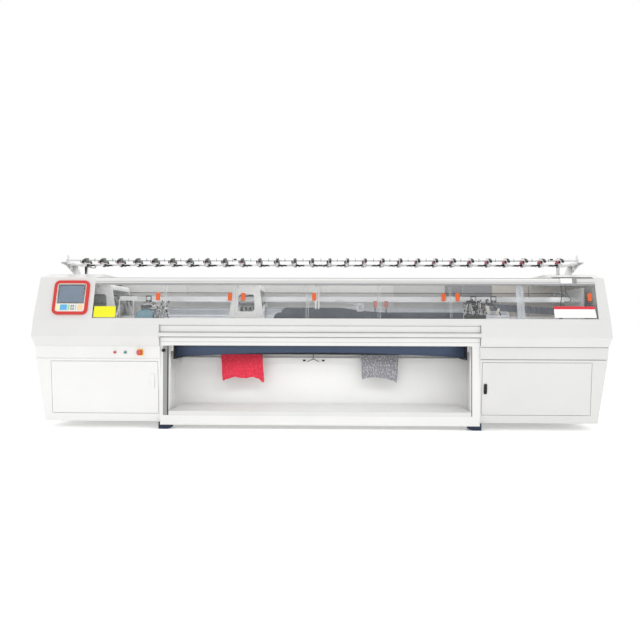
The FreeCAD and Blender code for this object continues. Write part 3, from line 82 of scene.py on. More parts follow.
def feed(tree, socket, value):
    if isinstance(value, bpy.types.NodeSocket):
        tree.links.new(value, socket)
    else:
        socket.default_value = value


def feedAll(tree, sockets, values):
    for label, value in values.items():
        feed(tree, sockets[label], value)


def group(name, inputs, outputs):
    tree = bpy.data.node_groups.new(name, "ShaderNodeTree")
    for label, value in inputs.items():
        kind = {float: "Float", tuple: "Vector", type(None): "Color"}[type(value)]
        socket = tree.interface.new_socket(name=label, in_out="INPUT", socket_type="NodeSocket" + kind)
        if value is not None:
            socket.default_value = value
    for label, kind in outputs.items():
        tree.interface.new_socket(name=label, in_out="OUTPUT", socket_type="NodeSocket" + kind)
    return tree, tree.nodes.new("NodeGroupInput").outputs, tree.nodes.new("NodeGroupOutput").inputs


def node(tree, kind, settings=None, **inputs):  # an input called i0 is the first socket
    made = tree.nodes.new(kind)
    for key, value in (settings or {}).items():
        setattr(made, key, value)
    for label, value in inputs.items():
        numbered = label[0] == "i" and label[1:].isdigit()
        feed(tree, made.inputs[int(label[1:]) if numbered else label], value)
    return made


def maths(tree, operation, *values):
    inputs = {f"i{i}": value for i, value in enumerate(values)}
    return node(tree, "ShaderNodeMath", {"operation": operation}, **inputs).outputs[0]


def times(tree, first, second):
    return maths(tree, "MULTIPLY", first, second)


def plus(tree, first, second):
    return maths(tree, "ADD", first, second)


def blendColour(tree, amount, first, second, kind="MIX"):
    settings = {"data_type": "RGBA", "blend_type": kind}
    return node(tree, "ShaderNodeMix", settings, i0=amount, i6=first, i7=second).outputs[2]


def remap(tree, value, low, high, newLow=0.0, newHigh=1.0):
    return node(tree, "ShaderNodeMapRange", None, i0=value, i1=low, i2=high, i3=newLow, i4=newHigh).outputs[0]


def placeOn(tree, label="Object"):
    return node(tree, "ShaderNodeTexCoord").outputs[label]


def speckle(tree, place, scale, detail):
    return node(tree, "ShaderNodeTexNoise", None, Vector=place, Scale=scale, Detail=detail).outputs["Fac"]


def scaled(tree, place, factors):
    return node(tree, "ShaderNodeVectorMath", {"operation": "MULTIPLY"}, i0=place, i1=factors).outputs[0]


def bump(tree, strength, distance, height, **normal):
    made = node(tree, "ShaderNodeBump", None, Strength=strength, Distance=distance, Height=height, **normal)
    return made.outputs[0]


def surfaceGrain():  # fine orange peel, soft blotches of tone and of gloss
    tree, given, out = group(
        "surfaceGrain",
        {"Tone": None, "Spread": 0.05, "Smooth": 0.3, "Rough": 0.45, "Size": 600.0},
        {"Tone": "Color", "Roughness": "Float", "Height": "Float"},
    )
    place = placeOn(tree)
    blotch = maths(tree, "SUBTRACT", speckle(tree, place, 2.3, 3.0), 0.5)
    level = plus(tree, times(tree, times(tree, blotch, given["Spread"]), 2.0), 1.0)
    grey = node(tree, "ShaderNodeCombineColor", None, i0=level, i1=level, i2=level).outputs[0]
    patch = speckle(tree, place, 31.0, 4.0)
    feedAll(tree, out, {
        "Tone": blendColour(tree, 1.0, given["Tone"], grey, "MULTIPLY"),
        "Roughness": remap(tree, patch, 0.3, 0.7, given["Smooth"], given["Rough"]),
        "Height": speckle(tree, place, given["Size"], 2.0),
    })
    return tree


def edgeWear():  # rounds the look of sharp edges, and masks them where paint or plastic rubs thin
    tree, given, out = group(
        "edgeWear", {"Width": 0.0015, "Amount": 0.4}, {"Mask": "Float", "Normal": "Vector"}
    )
    bevel = node(tree, "ShaderNodeBevel", {"samples": 4}, Radius=given["Width"]).outputs[0]
    true = node(tree, "ShaderNodeNewGeometry").outputs["Normal"]
    dot = {"operation": "DOT_PRODUCT"}
    turn = node(tree, "ShaderNodeVectorMath", dot, i0=bevel, i1=true).outputs["Value"]
    rub = speckle(tree, placeOn(tree), 46.0, 5.0)
    worn = times(tree, remap(tree, turn, 0.98, 0.8), remap(tree, rub, 0.5, 0.66))
    feedAll(tree, out, {"Mask": times(tree, worn, given["Amount"]), "Normal": bevel})
    return tree


def settledDust():  # pale lint on faces that look upward
    tree, given, out = group("settledDust", {"Amount": 0.2}, {"Mask": "Float"})
    normal = node(tree, "ShaderNodeNewGeometry").outputs["Normal"]
    up = node(tree, "ShaderNodeSeparateXYZ", None, i0=normal).outputs[2]
    drift = speckle(tree, placeOn(tree), 17.0, 6.0)
    lying = times(tree, remap(tree, up, 0.6, 0.95), remap(tree, drift, 0.35, 0.75, 0.2, 1.0))
    feed(tree, out["Mask"], times(tree, lying, given["Amount"]))
    return tree


def drawnLines():  # long fine scratches from grinding or drawing the metal
    tree, given, out = group(
        "drawnLines",
        {"Fineness": 700.0, "Stretch": (0.01, 1.0, 1.0)},
        {"Height": "Float", "Mask": "Float"},
    )
    long = scaled(tree, placeOn(tree), given["Stretch"])
    feedAll(tree, out, {
        "Height": speckle(tree, long, given["Fineness"], 3.0),
        "Mask": speckle(tree, long, 60.0, 2.0),
    })
    return tree


def knitStitch():  # rows of V stitches on the piece's own map, in metres
    tree, given, out = group(
        "knitStitch",
        {"Wale": 0.006, "Course": 0.005, "Size": 170.0},
        {"Height": "Float", "Fleck": "Float"},
    )
    place = placeOn(tree, "UV")
    split = node(tree, "ShaderNodeSeparateXYZ", None, i0=place)
    wale = maths(tree, "DIVIDE", split.outputs[0], given["Wale"])
    down = maths(tree, "DIVIDE", split.outputs[1], given["Course"])
    side = maths(tree, "ABSOLUTE", maths(tree, "SUBTRACT", maths(tree, "FRACT", wale), 0.5))
    slant = plus(tree, down, times(tree, side, 1.6))
    leg = maths(tree, "SINE", times(tree, slant, 2 * math.pi))
    rib = maths(tree, "SINE", times(tree, side, 2 * math.pi))
    long = scaled(tree, place, (1.0, 0.55, 1.0))
    feedAll(tree, out, {
        "Height": plus(tree, times(tree, leg, 0.35), times(tree, rib, 0.65)),
        "Fleck": speckle(tree, long, given["Size"], 4.0),
    })
    return tree


grainGroup, wearGroup, dustGroup, linesGroup, stitchGroup = (
    surfaceGrain(), edgeWear(), settledDust(), drawnLines(), knitStitch()
)
finishes = {}


# Finishes

def newFinish(name):
    material = bpy.data.materials.new(name)
    material.use_nodes = True
    finishes[name] = material
    return material.node_tree, material.node_tree.nodes["Principled BSDF"].inputs


def useGroup(tree, used, **inputs):
    return node(tree, "ShaderNodeGroup", {"node_tree": used}, **inputs).outputs


def rgba(tone):
    return (*tone, 1.0)


# Paint, plastic and rubber share one build: grain, worn edges and lint. Each names a family and what differs.
usual = {
    "smooth": 0.3, "rough": 0.42, "grain": 900, "depth": 0.05, "edge": 0.001,
    "wear": 0.1, "lint": 0.1, "coat": 0.0, "shine": 0.5,
}
families = {
    "paint": {"edge": 0.0018, "coat": 0.25},
    "dark": {"smooth": 0.35, "rough": 0.5, "wear": 0.5, "shine": 0.2},
    "glossy": {
        "smooth": 0.18, "rough": 0.3, "depth": 0.03, "edge": 0.0008,
        "wear": 0.25, "lint": 0.06, "coat": 0.5,
    },
    "sign": {
        "smooth": 0.28, "rough": 0.36, "grain": 1200, "depth": 0.02,
        "edge": 0.0005, "lint": 0.04, "coat": 0.2,
    },
    "key": {
        "smooth": 0.28, "rough": 0.4, "grain": 1200, "depth": 0.02,
        "edge": 0.0005, "lint": 0.03, "coat": 0.2,
    },
    "liner": {"smooth": 0.4, "rough": 0.6},
}
coated = {
    "white_paint": {"like": "paint", "tone": (0.8, 0.798, 0.786), "under": (0.62, 0.62, 0.6), "wear": 0.12},
    # A greyer white paint for the covers; on the right cabinet and door it is painted shade, darker than the
    # matching left ones.
    "cover_paint": {"like": "paint", "tone": (0.7, 0.698, 0.688), "under": (0.56, 0.56, 0.54)},
    "grey_paint": {
        "tone": (0.72, 0.72, 0.71), "under": (0.6, 0.6, 0.6),
        "smooth": 0.34, "rough": 0.5, "grain": 800, "depth": 0.06, "edge": 0.0015,
        "wear": 0.3, "lint": 0.3, "coat": 0.1,
    },
    "foot_paint": {
        "like": "dark", "tone": (0.028, 0.038, 0.07), "under": (0.16, 0.17, 0.2),
        "smooth": 0.45, "rough": 0.65, "grain": 260, "depth": 0.25, "edge": 0.002, "wear": 0.6, "lint": 0.08,
    },
    "black_plastic": {
        "like": "dark", "tone": (0.018, 0.018, 0.021), "under": (0.08, 0.08, 0.085),
        "grain": 1100, "depth": 0.1, "edge": 0.0008, "lint": 0.18,
    },
    "slate_plastic": {
        "like": "dark", "tone": (0.066, 0.078, 0.108), "under": (0.2, 0.22, 0.27),
        "smooth": 0.38, "rough": 0.55, "depth": 0.1, "lint": 0.12,
    },
    "maroon_plastic": {
        "like": "glossy", "tone": (0.42, 0.02, 0.08), "under": (0.45, 0.12, 0.16),
        "smooth": 0.2, "rough": 0.32, "wear": 0.3, "lint": 0.1, "coat": 0.4,
    },
    "red_plastic": {"like": "glossy", "tone": (0.6, 0.02, 0.03), "under": (0.8, 0.2, 0.18)},
    "green_plastic": {"like": "glossy", "tone": (0.04, 0.2, 0.13), "under": (0.2, 0.5, 0.3)},
    "yellow_plastic": {
        "tone": (0.9, 0.62, 0.02), "under": (0.95, 0.8, 0.3),
        "depth": 0.04, "edge": 0.0008, "wear": 0.2, "lint": 0.06, "coat": 0.2,
    },
    "red_bezel": {
        "like": "paint", "tone": (0.6, 0.022, 0.014), "under": (0.8, 0.25, 0.2),
        "rough": 0.4, "grain": 1000, "depth": 0.06, "edge": 0.003, "lint": 0.06,
    },
    "cream_plastic": {
        "tone": (0.8, 0.77, 0.68), "under": (0.6, 0.57, 0.5),
        "grain": 1000, "wear": 0.15, "lint": 0.06, "coat": 0.15,
    },
    "black_rubber": {
        "like": "dark", "tone": (0.022, 0.022, 0.024), "under": (0.07, 0.07, 0.075),
        "smooth": 0.6, "rough": 0.85, "grain": 520, "depth": 0.5, "wear": 0.35, "lint": 0.35,
    },
    "orange_plastic": {
        "like": "glossy", "tone": (0.72, 0.11, 0.015), "under": (0.95, 0.4, 0.2),
        "smooth": 0.22, "rough": 0.34, "grain": 1000, "wear": 0.15, "lint": 0.04, "coat": 0.3,
    },
    "hood_grey": {
        "like": "dark", "tone": (0.15, 0.165, 0.148), "under": (0.36, 0.38, 0.35),
        "grain": 500, "depth": 0.15, "edge": 0.0015, "coat": 0.1,
    },
    "flag_red": {
        "tone": (0.5, 0.14, 0.11), "under": (0.6, 0.3, 0.25),
        "rough": 0.4, "grain": 1000, "depth": 0.03, "edge": 0.0008, "lint": 0.04, "coat": 0.1,
    },
    # A dark grey: the real colour of some keys and the supply plug, and painted shade in lines on the fascia
    # and down the left leg.
    "head_shade": {"like": "liner", "tone": (0.3, 0.3, 0.29), "under": (0.4, 0.4, 0.4), "rough": 0.55},
    "liner_grey": {"like": "liner", "tone": (0.86, 0.86, 0.84), "under": (0.5, 0.5, 0.5)},
    # A dark grey: the colour of the dark wall liners, and painted shade in the cabinet gaps and along the
    # head rail.
    "liner_dark": {"like": "liner", "tone": (0.3, 0.3, 0.31), "under": (0.3, 0.3, 0.3)},
    "beige_paint": {
        "tone": (0.62, 0.575, 0.52), "under": (0.45, 0.43, 0.4),
        "smooth": 0.35, "rough": 0.48, "edge": 0.0015, "wear": 0.15, "lint": 0.15, "coat": 0.1,
    },
    "sign_yellow": {"like": "sign", "tone": (0.84, 0.82, 0.0), "under": (0.7, 0.66, 0.2)},
    "sign_red": {"like": "sign", "tone": (0.7, 0.02, 0.04), "under": (0.75, 0.2, 0.2)},
    "sign_white": {"like": "sign", "tone": (0.88, 0.88, 0.87), "under": (0.7, 0.7, 0.7)},
    "ceramic_white": {
        "like": "sign", "tone": (0.86, 0.85, 0.82), "under": (0.8, 0.8, 0.78),
        "smooth": 0.12, "rough": 0.22, "grain": 700, "edge": 0.0004, "wear": 0.0, "lint": 0.0, "coat": 0.6,
    },
    "dome_blue": {
        "tone": (0.16, 0.34, 0.44), "under": (0.4, 0.5, 0.55),
        "smooth": 0.22, "rough": 0.36, "depth": 0.03, "wear": 0.2, "lint": 0.15, "coat": 0.3,
    },
    "key_blue": {"like": "key", "tone": (0.1, 0.42, 0.72), "under": (0.3, 0.5, 0.7)},
    "key_cream": {"like": "key", "tone": (0.84, 0.8, 0.42), "under": (0.8, 0.8, 0.6)},
    "key_orange": {"like": "key", "tone": (0.86, 0.6, 0.36), "under": (0.8, 0.7, 0.6)},
    "key_green": {"like": "key", "tone": (0.36, 0.62, 0.36), "under": (0.5, 0.7, 0.5)},
}
lintTone, coatGloss = (0.68, 0.67, 0.64, 1), 0.18


def makeCoated(name, differs):
    made = {**usual, **families.get(differs.get("like"), {}), **differs}
    tree, shader = newFinish(name)
    grain = useGroup(
        tree, grainGroup, Tone=rgba(made["tone"]), Spread=0.05,
        Smooth=made["smooth"], Rough=made["rough"], Size=float(made["grain"]),
    )
    wear = useGroup(tree, wearGroup, Width=made["edge"], Amount=made["wear"])
    lint = useGroup(tree, dustGroup, Amount=made["lint"])["Mask"]
    rubbed = blendColour(tree, wear["Mask"], grain["Tone"], rgba(made["under"]))
    feedAll(tree, shader, {
        "Base Color": blendColour(tree, lint, rubbed, lintTone),
        "Roughness": plus(tree, grain["Roughness"], times(tree, lint, 0.5)),
        "Normal": bump(tree, made["depth"], 0.0006, grain["Height"], Normal=wear["Normal"]),
        "Coat Weight": made["coat"],
        "Specular IOR Level": made["shine"],
        "Coat Roughness": coatGloss,
    })


bare = {
    "steel": {
        "tone": (0.5, 0.51, 0.53), "dark": (0.36, 0.37, 0.39),
        "smooth": 0.22, "rough": 0.42, "stretch": (0.012, 1, 1), "depth": 0.12,
    },
    "rail_aluminium": {
        "tone": (0.8, 0.81, 0.82), "dark": (0.7, 0.71, 0.72),
        "smooth": 0.3, "rough": 0.5, "stretch": (0.01, 1, 1), "depth": 0.06,
    },
    "needle_steel": {
        "tone": (0.46, 0.49, 0.55), "dark": (0.24, 0.27, 0.33),
        "smooth": 0.25, "rough": 0.45, "stretch": (1, 0.03, 0.03), "depth": 0.1,
    },
}


def makeBare(name, made):
    tree, shader = newFinish(name)
    lines = useGroup(tree, linesGroup, Fineness=700.0, Stretch=made["stretch"])
    wear = useGroup(tree, wearGroup, Width=0.0008, Amount=0.5)
    lint = useGroup(tree, dustGroup, Amount=0.2)["Mask"]
    drawn = blendColour(tree, remap(tree, lines["Mask"], 0.3, 0.7), rgba(made["dark"]), rgba(made["tone"]))
    bright = blendColour(tree, wear["Mask"], drawn, (0.85, 0.85, 0.86, 1))
    gloss = remap(tree, lines["Height"], 0.3, 0.7, made["smooth"], made["rough"])
    feedAll(tree, shader, {
        "Base Color": blendColour(tree, lint, bright, (0.6, 0.6, 0.58, 1)),
        "Roughness": plus(tree, gloss, times(tree, lint, 0.6)),
        "Metallic": maths(tree, "SUBTRACT", 0.95, lint),
        "Normal": bump(tree, made["depth"], 0.0004, lines["Height"], Normal=wear["Normal"]),
    })


# A pane's grey veil is partly haze and partly painted reflection; edge scales a painted reflection that makes
# the pane more opaque at grazing angles.
glazed = {
    "pane": {"tone": (0.6, 0.62, 0.62), "hazeAndReflection": 0.08, "edge": 0.2, "smooth": 0.03, "rough": 0.09},
    "pane_edge": {"tone": (0.86, 0.88, 0.88), "hazeAndReflection": 0.35, "edge": 0.2, "smooth": 0.12, "rough": 0.25},
    "post_film": {"tone": (0.72, 0.76, 0.8), "hazeAndReflection": 0.4, "edge": 0.2, "smooth": 0.15, "rough": 0.3},
}


def makeGlazed(name, made):
    tree, shader = newFinish(name)
    grain = useGroup(
        tree, grainGroup, Tone=rgba(made["tone"]), Spread=0.12,
        Smooth=made["smooth"], Rough=made["rough"], Size=40.0,
    )
    # Painted reflection: the grey surface grows more opaque towards grazing angles, and its blotchy veil
    # stands partly for haze and partly for reflections.
    rim = node(tree, "ShaderNodeLayerWeight", None, Blend=0.25).outputs["Fresnel"]
    smear = speckle(tree, placeOn(tree), 5.0, 5.0)
    hazeAndReflection = remap(tree, smear, 0.35, 0.75, made["hazeAndReflection"] * 0.75, made["hazeAndReflection"] * 1.35)
    feedAll(tree, shader, {
        "Base Color": grain["Tone"],
        "Roughness": grain["Roughness"],
        "Alpha": maths(tree, "MINIMUM", plus(tree, hazeAndReflection, times(tree, rim, made["edge"])), 1.0),
        "Normal": bump(tree, 0.02, 0.001, grain["Height"]),
        "IOR": 1.49,
    })


def makeScreen():
    tree, shader = newFinish("screen_glass")
    grain = useGroup(
        tree, grainGroup, Tone=(0.12, 0.155, 0.2, 1), Spread=0.35, Smooth=0.06, Rough=0.12, Size=300.0
    )
    feedAll(tree, shader, {
        "Base Color": grain["Tone"],
        "Roughness": grain["Roughness"],
        "Emission Color": (0.1, 0.14, 0.19, 1),
        "Emission Strength": 0.35,
        "Coat Weight": 0.8,
    })


# deep is the painted shade colour that the stitches' hollows are darkened towards.
cloths = {
    "red_knit": {
        "tone": (0.8, 0.042, 0.08), "deep": (0.34, 0.008, 0.025), "light": (0.95, 0.14, 0.2),
        "wale": 0.0085, "course": 0.0075, "bump": 0.9, "fleck": 0.35, "sheen": 0.15, "size": 84.0,
    },
    "grey_knit": {
        "tone": (0.3, 0.3, 0.33), "deep": (0.08, 0.08, 0.1), "light": (0.56, 0.56, 0.57),
        "wale": 0.0085, "course": 0.0075, "bump": 1.0, "fleck": 0.8, "sheen": 0.15, "size": 90.0,
    },
    "navy_cloth": {
        "tone": (0.017, 0.025, 0.043), "deep": (0.01, 0.014, 0.025), "light": (0.04, 0.055, 0.09),
        "wale": 0.0016, "course": 0.0014, "bump": 0.25, "fleck": 0.2, "sheen": 0.02, "size": 170.0,
    },
}


def makeCloth(name, made):
    tree, shader = newFinish(name)
    stitch = useGroup(tree, stitchGroup, Wale=made["wale"], Course=made["course"], Size=made["size"])
    # Painted shade: where the stitch relief is low, in the hollows between loops, the colour goes towards the
    # deep colour.
    yarn = blendColour(tree, remap(tree, stitch["Height"], -0.6, 0.8), rgba(made["deep"]), rgba(made["tone"]))
    fleck = times(tree, remap(tree, stitch["Fleck"], 0.5, 0.62), made["fleck"])
    feedAll(tree, shader, {
        "Base Color": blendColour(tree, fleck, yarn, rgba(made["light"])),
        "Roughness": remap(tree, stitch["Fleck"], 0.3, 0.7, 0.72, 0.95),
        "Normal": bump(tree, made["bump"], 0.0016, stitch["Height"]),
        "Sheen Weight": made["sheen"],
        "Specular IOR Level": 0.15,
        "Sheen Roughness": 0.5,
    })


for makeOne, table in ((makeCoated, coated), (makeBare, bare), (makeGlazed, glazed), (makeCloth, cloths)):
    for name, made in table.items():
        makeOne(name, made)
makeScreen()

# Nodes whose finish in the photograph differs from their slot's usual one.
changed = {name: "cover_paint" for name in (
    "left_end_cover", "right_end_cover", "rear_cover", "window_tracks", "rail_supports",
    # right_door and right_cabinet take the greyer paint as painted shade.
    "right_door", "right_cabinet",
)}
changed.update(left_door_lock="white_paint", operating_rod="grey_paint", carriage_bridges="sign_white")
for part in frame["record"]["subparts"]:
    piece = nodes[part["node"]]
    if not piece.data.materials:
        piece.data.materials.append(None)
    for held in piece.material_slots:
        held.material = finishes[changed.get(part["node"], part["material_slot"])]
print(f"{len(finishes)} finishes on {len(nodes)} nodes")


# Helpers for new pieces

still = Matrix.Identity(4)
doubleLimit = 0.0005


def shifted(x, y, z):
    return Matrix.Translation((x, y, z))


def turnedTo(axis, degrees):
    return Matrix.Rotation(math.radians(degrees), 4, axis)


def soften(mesh, edges, width, steps=2):
    bmesh.ops.bevel(
        mesh, geom=edges, offset=width, segments=steps, profile=0.5, affect="EDGES", material=-1
    )


def block(low, high, soft=0.0):
    mesh = bmesh.new()
    bmesh.ops.create_cube(mesh, size=1)
    bmesh.ops.scale(mesh, vec=[h - l for l, h in zip(low, high)], verts=mesh.verts)
    bmesh.ops.translate(mesh, vec=[(l + h) / 2 for l, h in zip(low, high)], verts=mesh.verts)
    if soft:
        soften(mesh, mesh.edges[:], soft)
    return mesh


def sideBlock(x, otherX, low, high, soft):  # X values in either order; low and high hold Y and Z
    return block((min(x, otherX), *low), (max(x, otherX), *high), soft)


def slab(width, height, thick, corner, soft, steps=4):  # stands in XZ, its front at Y = -thick
    mesh = block((-width / 2, -thick, -height / 2), (width / 2, 0, height / 2))
    if corner:
        deep = [e for e in mesh.edges if abs(e.verts[0].co.y - e.verts[1].co.y) > thick / 2]
        soften(mesh, deep, corner, steps)
    if soft:
        soften(mesh, [e for e in mesh.edges if all(abs(v.co.y + thick) < 0.001 for v in e.verts)], soft)
    return mesh


def rod(start, end, radius, sides, soft=0.0):
    mesh = bmesh.new()
    run = Vector(end) - Vector(start)
    bmesh.ops.create_cone(
        mesh, cap_ends=True, segments=sides, radius1=radius, radius2=radius, depth=run.length
    )
    if soft:
        soften(mesh, [e for e in mesh.edges if abs(e.verts[0].co.z - e.verts[1].co.z) < 0.001], soft)
    middle = Matrix.Translation((Vector(start) + Vector(end)) / 2)
    turn = run.to_track_quat("Z", "Y").to_matrix().to_4x4()
    bmesh.ops.transform(mesh, matrix=middle @ turn, verts=mesh.verts)
    return mesh


def spun(mesh, steps):  # all that is drawn so far, once round Z
    bmesh.ops.spin(
        mesh, geom=mesh.verts[:] + mesh.edges[:], cent=(0, 0, 0), axis=(0, 0, 1),
        angle=2 * math.pi, steps=steps, use_merge=True,
    )
    bmesh.ops.remove_doubles(mesh, verts=mesh.verts, dist=doubleLimit)
    return mesh


def turned(profile, steps, closed=False):  # profile of (radius, height) points
    mesh = bmesh.new()
    verts = [mesh.verts.new((radius, 0, height)) for radius, height in profile]
    for pair in zip(verts, verts[1:] + verts[:1] if closed else verts[1:]):
        mesh.edges.new(pair)
    return spun(mesh, steps)


def ring(radius, thick, steps, sides):
    mesh = bmesh.new()
    loop = bmesh.ops.create_circle(mesh, segments=sides, radius=thick)["verts"]
    bmesh.ops.rotate(mesh, verts=loop, cent=(0, 0, 0), matrix=Matrix.Rotation(math.pi / 2, 3, "X"))
    bmesh.ops.translate(mesh, verts=loop, vec=(radius, 0, 0))
    return spun(mesh, steps)


def wire(points, radius, sides):  # bent wire or tube through the points
    curve = bpy.data.curves.new("wire", "CURVE")
    curve.dimensions = "3D"
    curve.bevel_depth = radius
    curve.bevel_resolution = sides
    curve.use_fill_caps = True
    spline = curve.splines.new("NURBS")
    spline.points.add(len(points) - 1)
    for held, point in zip(spline.points, points):
        held.co = (*point, 1)
    spline.order_u = 3
    spline.use_endpoint_u = True
    spline.resolution_u = 6
    shape = bpy.data.objects.new("wire", curve)
    made = bpy.data.meshes.new_from_object(shape)
    mesh = bmesh.new()
    mesh.from_mesh(made)
    bpy.data.objects.remove(shape)
    bpy.data.curves.remove(curve)
    bpy.data.meshes.remove(made)
    return mesh


def outline(points, low, high, plane="XZ"):  # a flat shape given thickness along the third axis
    mesh = bmesh.new()
    lay = {"XZ": lambda a, b: (a, low, b), "YZ": lambda a, b: (low, a, b)}[plane]
    face = mesh.faces.new([mesh.verts.new(lay(a, b)) for a, b in points])
    grown = bmesh.ops.extrude_face_region(mesh, geom=[face])["geom"]
    move = {"XZ": (0, high - low, 0), "YZ": (high - low, 0, 0)}[plane]
    bmesh.ops.translate(mesh, verts=[v for v in grown if isinstance(v, bmesh.types.BMVert)], vec=move)
    bmesh.ops.recalc_face_normals(mesh, faces=mesh.faces)
    return mesh


def gather(parts):  # each part is a mesh, or a mesh, its place or places, and steps from there
    whole = bmesh.new()
    for part in parts:
        mesh, places, *steps = part if isinstance(part, tuple) else (part, still)
        held = bpy.data.meshes.new("part")
        mesh.to_mesh(held)
        mesh.free()
        for place in [places] if isinstance(places, Matrix) else places:
            for step in steps:
                place = place @ (step if isinstance(step, Matrix) else shifted(*step))
            start = len(whole.verts)
            whole.from_mesh(held)
            whole.verts.ensure_lookup_table()
            bmesh.ops.transform(whole, matrix=place, verts=whole.verts[start:])
        bpy.data.meshes.remove(held)
    return whole


def addPiece(name, parts, finish, body="machine", smooth=40, stands=()):
    mesh = gather(parts) if isinstance(parts, list) else parts
    bmesh.ops.recalc_face_normals(mesh, faces=mesh.faces)
    bmesh.ops.scale(mesh, vec=(0.001, 0.001, 0.001), verts=mesh.verts)
    data = bpy.data.meshes.new(name)
    mesh.to_mesh(data)
    mesh.free()
    data.materials.append(finishes[finish])
    piece = link(name, data)
    if smooth:
        data.polygons.foreach_set("use_smooth", [True] * len(data.polygons))
        data.set_sharp_from_angle(angle=math.radians(smooth))
    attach(piece, body)
    if stands:
        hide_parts(*stands)
    return piece


# Window panes: pulls, polished edges, plain plates

front = {"depth": 430, "level": 942, "browDepth": 335, "browLevel": 1298}
lean = (front["depth"] - front["browDepth"]) / (front["browLevel"] - front["level"])
leanAngle = -math.degrees(math.atan(lean))
panes = {
    "left": -1940, "right": 2345, "count": 7, "setback": 6, "trackPitch": 20,
    "tracks": [0, 2, 1, 0, 2, 1, 0],
    "foot": 952, "head": 1232, "edgeInset": 10.4, "edgeWidth": 3, "thin": 1.2,
}
pulls = {
    "sides": [1, 1, -1, -1, 1, -1, 1], "inset": 58, "level": 1099, "middle": 34,
    "height": 69.2, "width": 35.2, "thick": 12.6, "corner": 8.4, "soft": 2.2,
    "grooves": (-20, -12, -4, 4, 12, 20),
}
film = {"x": 1709, "level": 948, "behind": 25.9, "width": 62, "height": 296}
yellowPlate = {"x": -1837, "level": 953, "width": 186, "height": 98}
whitePlate = {
    "x": 1980, "level": 957, "foot": 352, "head": 341, "height": 101, "bandFoot": 343.6, "bandLevel": 76,
}


def slopeY(level, behind=0.0):
    return -front["depth"] + (level - front["level"]) * lean + behind


def onSlope(x, level, behind=0.0):  # a frame whose X runs along, and whose Z climbs the sloped front
    return shifted(x, slopeY(level, behind), level) @ turnedTo("X", leanAngle)


def windowPanes():
    pitch = (panes["right"] - panes["left"]) / panes["count"]
    tall = (panes["head"] - panes["foot"]) / math.cos(math.radians(leanAngle))
    for i, (track, side) in enumerate(zip(panes["tracks"], pulls["sides"])):
        body = f"window_pane_{i + 1}"
        behind = panes["setback"] + track * panes["trackPitch"]
        left = panes["left"] + i * pitch
        right = left + pitch
        x = right - pulls["inset"] if side > 0 else left + pulls["inset"]
        place = onSlope(x, pulls["level"], behind - 0.15) @ shifted(0, 0, pulls["middle"])
        shell = slab(pulls["width"], pulls["height"], pulls["thick"], pulls["corner"], pulls["soft"])
        grooves = [place @ shifted(0, -12.4, step) for step in pulls["grooves"]]
        parts = [(shell, place), (slab(22, 4, 0.9, 0, 0.6), grooves)]
        addPiece(f"pull_{i + 1}", parts, "orange_plastic", body)
        strip = slab(panes["edgeWidth"], tall, panes["thin"], 0, 0.3)
        edges = [
            onSlope(edge, panes["foot"], behind - 0.05) @ shifted(0, 0, tall / 2)
            for edge in (left - panes["edgeInset"], right + panes["edgeInset"])
        ]
        addPiece(f"pane_edges_{i + 1}", [(strip, edges)], "pane_edge", body)
    sheet = slab(film["width"], film["height"], panes["thin"], 2, 0.4)
    place = onSlope(film["x"], film["level"], film["behind"])
    parts = [(sheet, place, (0, 0, film["height"] / 2))]
    addPiece("pane_joint_film", parts, "post_film", "window_pane_6")


def plainPlates():
    made = yellowPlate
    place = onSlope(made["x"], made["level"], panes["setback"] - 0.1) @ shifted(0, 0, made["height"] / 2)
    plate = slab(made["width"], made["height"], 0.8, 3, 0.2)
    addPiece("yellow_plate", [(plate, place)], "sign_yellow", "window_pane_1")
    made = whitePlate
    place = onSlope(made["x"], made["level"], panes["setback"] - 0.1)
    plate = outline([(0, 0), (made["foot"], 0), (made["head"], made["height"]), (0, made["height"])], -0.8, 0)
    addPiece("white_plate", [(plate, place)], "sign_white", "window_pane_7")
    low, high = made["bandLevel"], made["height"] + 0.3
    band = outline([(0, low), (made["bandFoot"], low), (made["head"], high), (0, high)], -1.0, -0.81)
    addPiece("red_band", [(band, place)], "sign_red", "window_pane_7")


windowPanes()
plainPlates()
print("panes dressed")


# Yarn tension units along the top

tension = {
    "first": -2160, "pitch": 160, "count": 28, "turn": 14, "rails": (1484, 1440), "face": 6,
    "hoodMiddle": -5, "hoodCentre": 1373.44, "hoodRadius": 130.56, "hoodSpread": 46.69, "hoodEnd": 18,
    "knobBack": -28, "knobLevel": 1462, "arm": (-17, 1438),
}
units = [shifted(tension["first"] + i * tension["pitch"], 0, 0) for i in range(tension["count"])]
upright, sideways = turnedTo("X", 90), turnedTo("Y", 90)


def arcPoints(radius, start, end, steps):  # on the hood's circle; degrees from the top, towards the back
    turns = [math.radians(start + (end - start) * i / steps) for i in range(steps + 1)]
    middle, centre = tension["hoodMiddle"], tension["hoodCentre"]
    return [(middle + radius * math.sin(t), centre + radius * math.cos(t)) for t in turns]


def softOutside(mesh, beyond, width, steps=2):
    soften(mesh, [e for e in mesh.edges if all(v.co.x > beyond for v in e.verts)], width, steps)
    return mesh


def pressedHood():
    spread, radius, end = tension["hoodSpread"], tension["hoodRadius"], tension["hoodEnd"]
    shell = outline(arcPoints(radius, -spread, spread, 22), tension["face"] + 0.2, end, "YZ")
    raised = outline(arcPoints(radius - 12, 12 - spread, spread - 12, 14), end - 0.5, end + 1.6, "YZ")
    return [softOutside(shell, end - 0.1, 3, 3), softOutside(raised, end + 1, 1.2)]


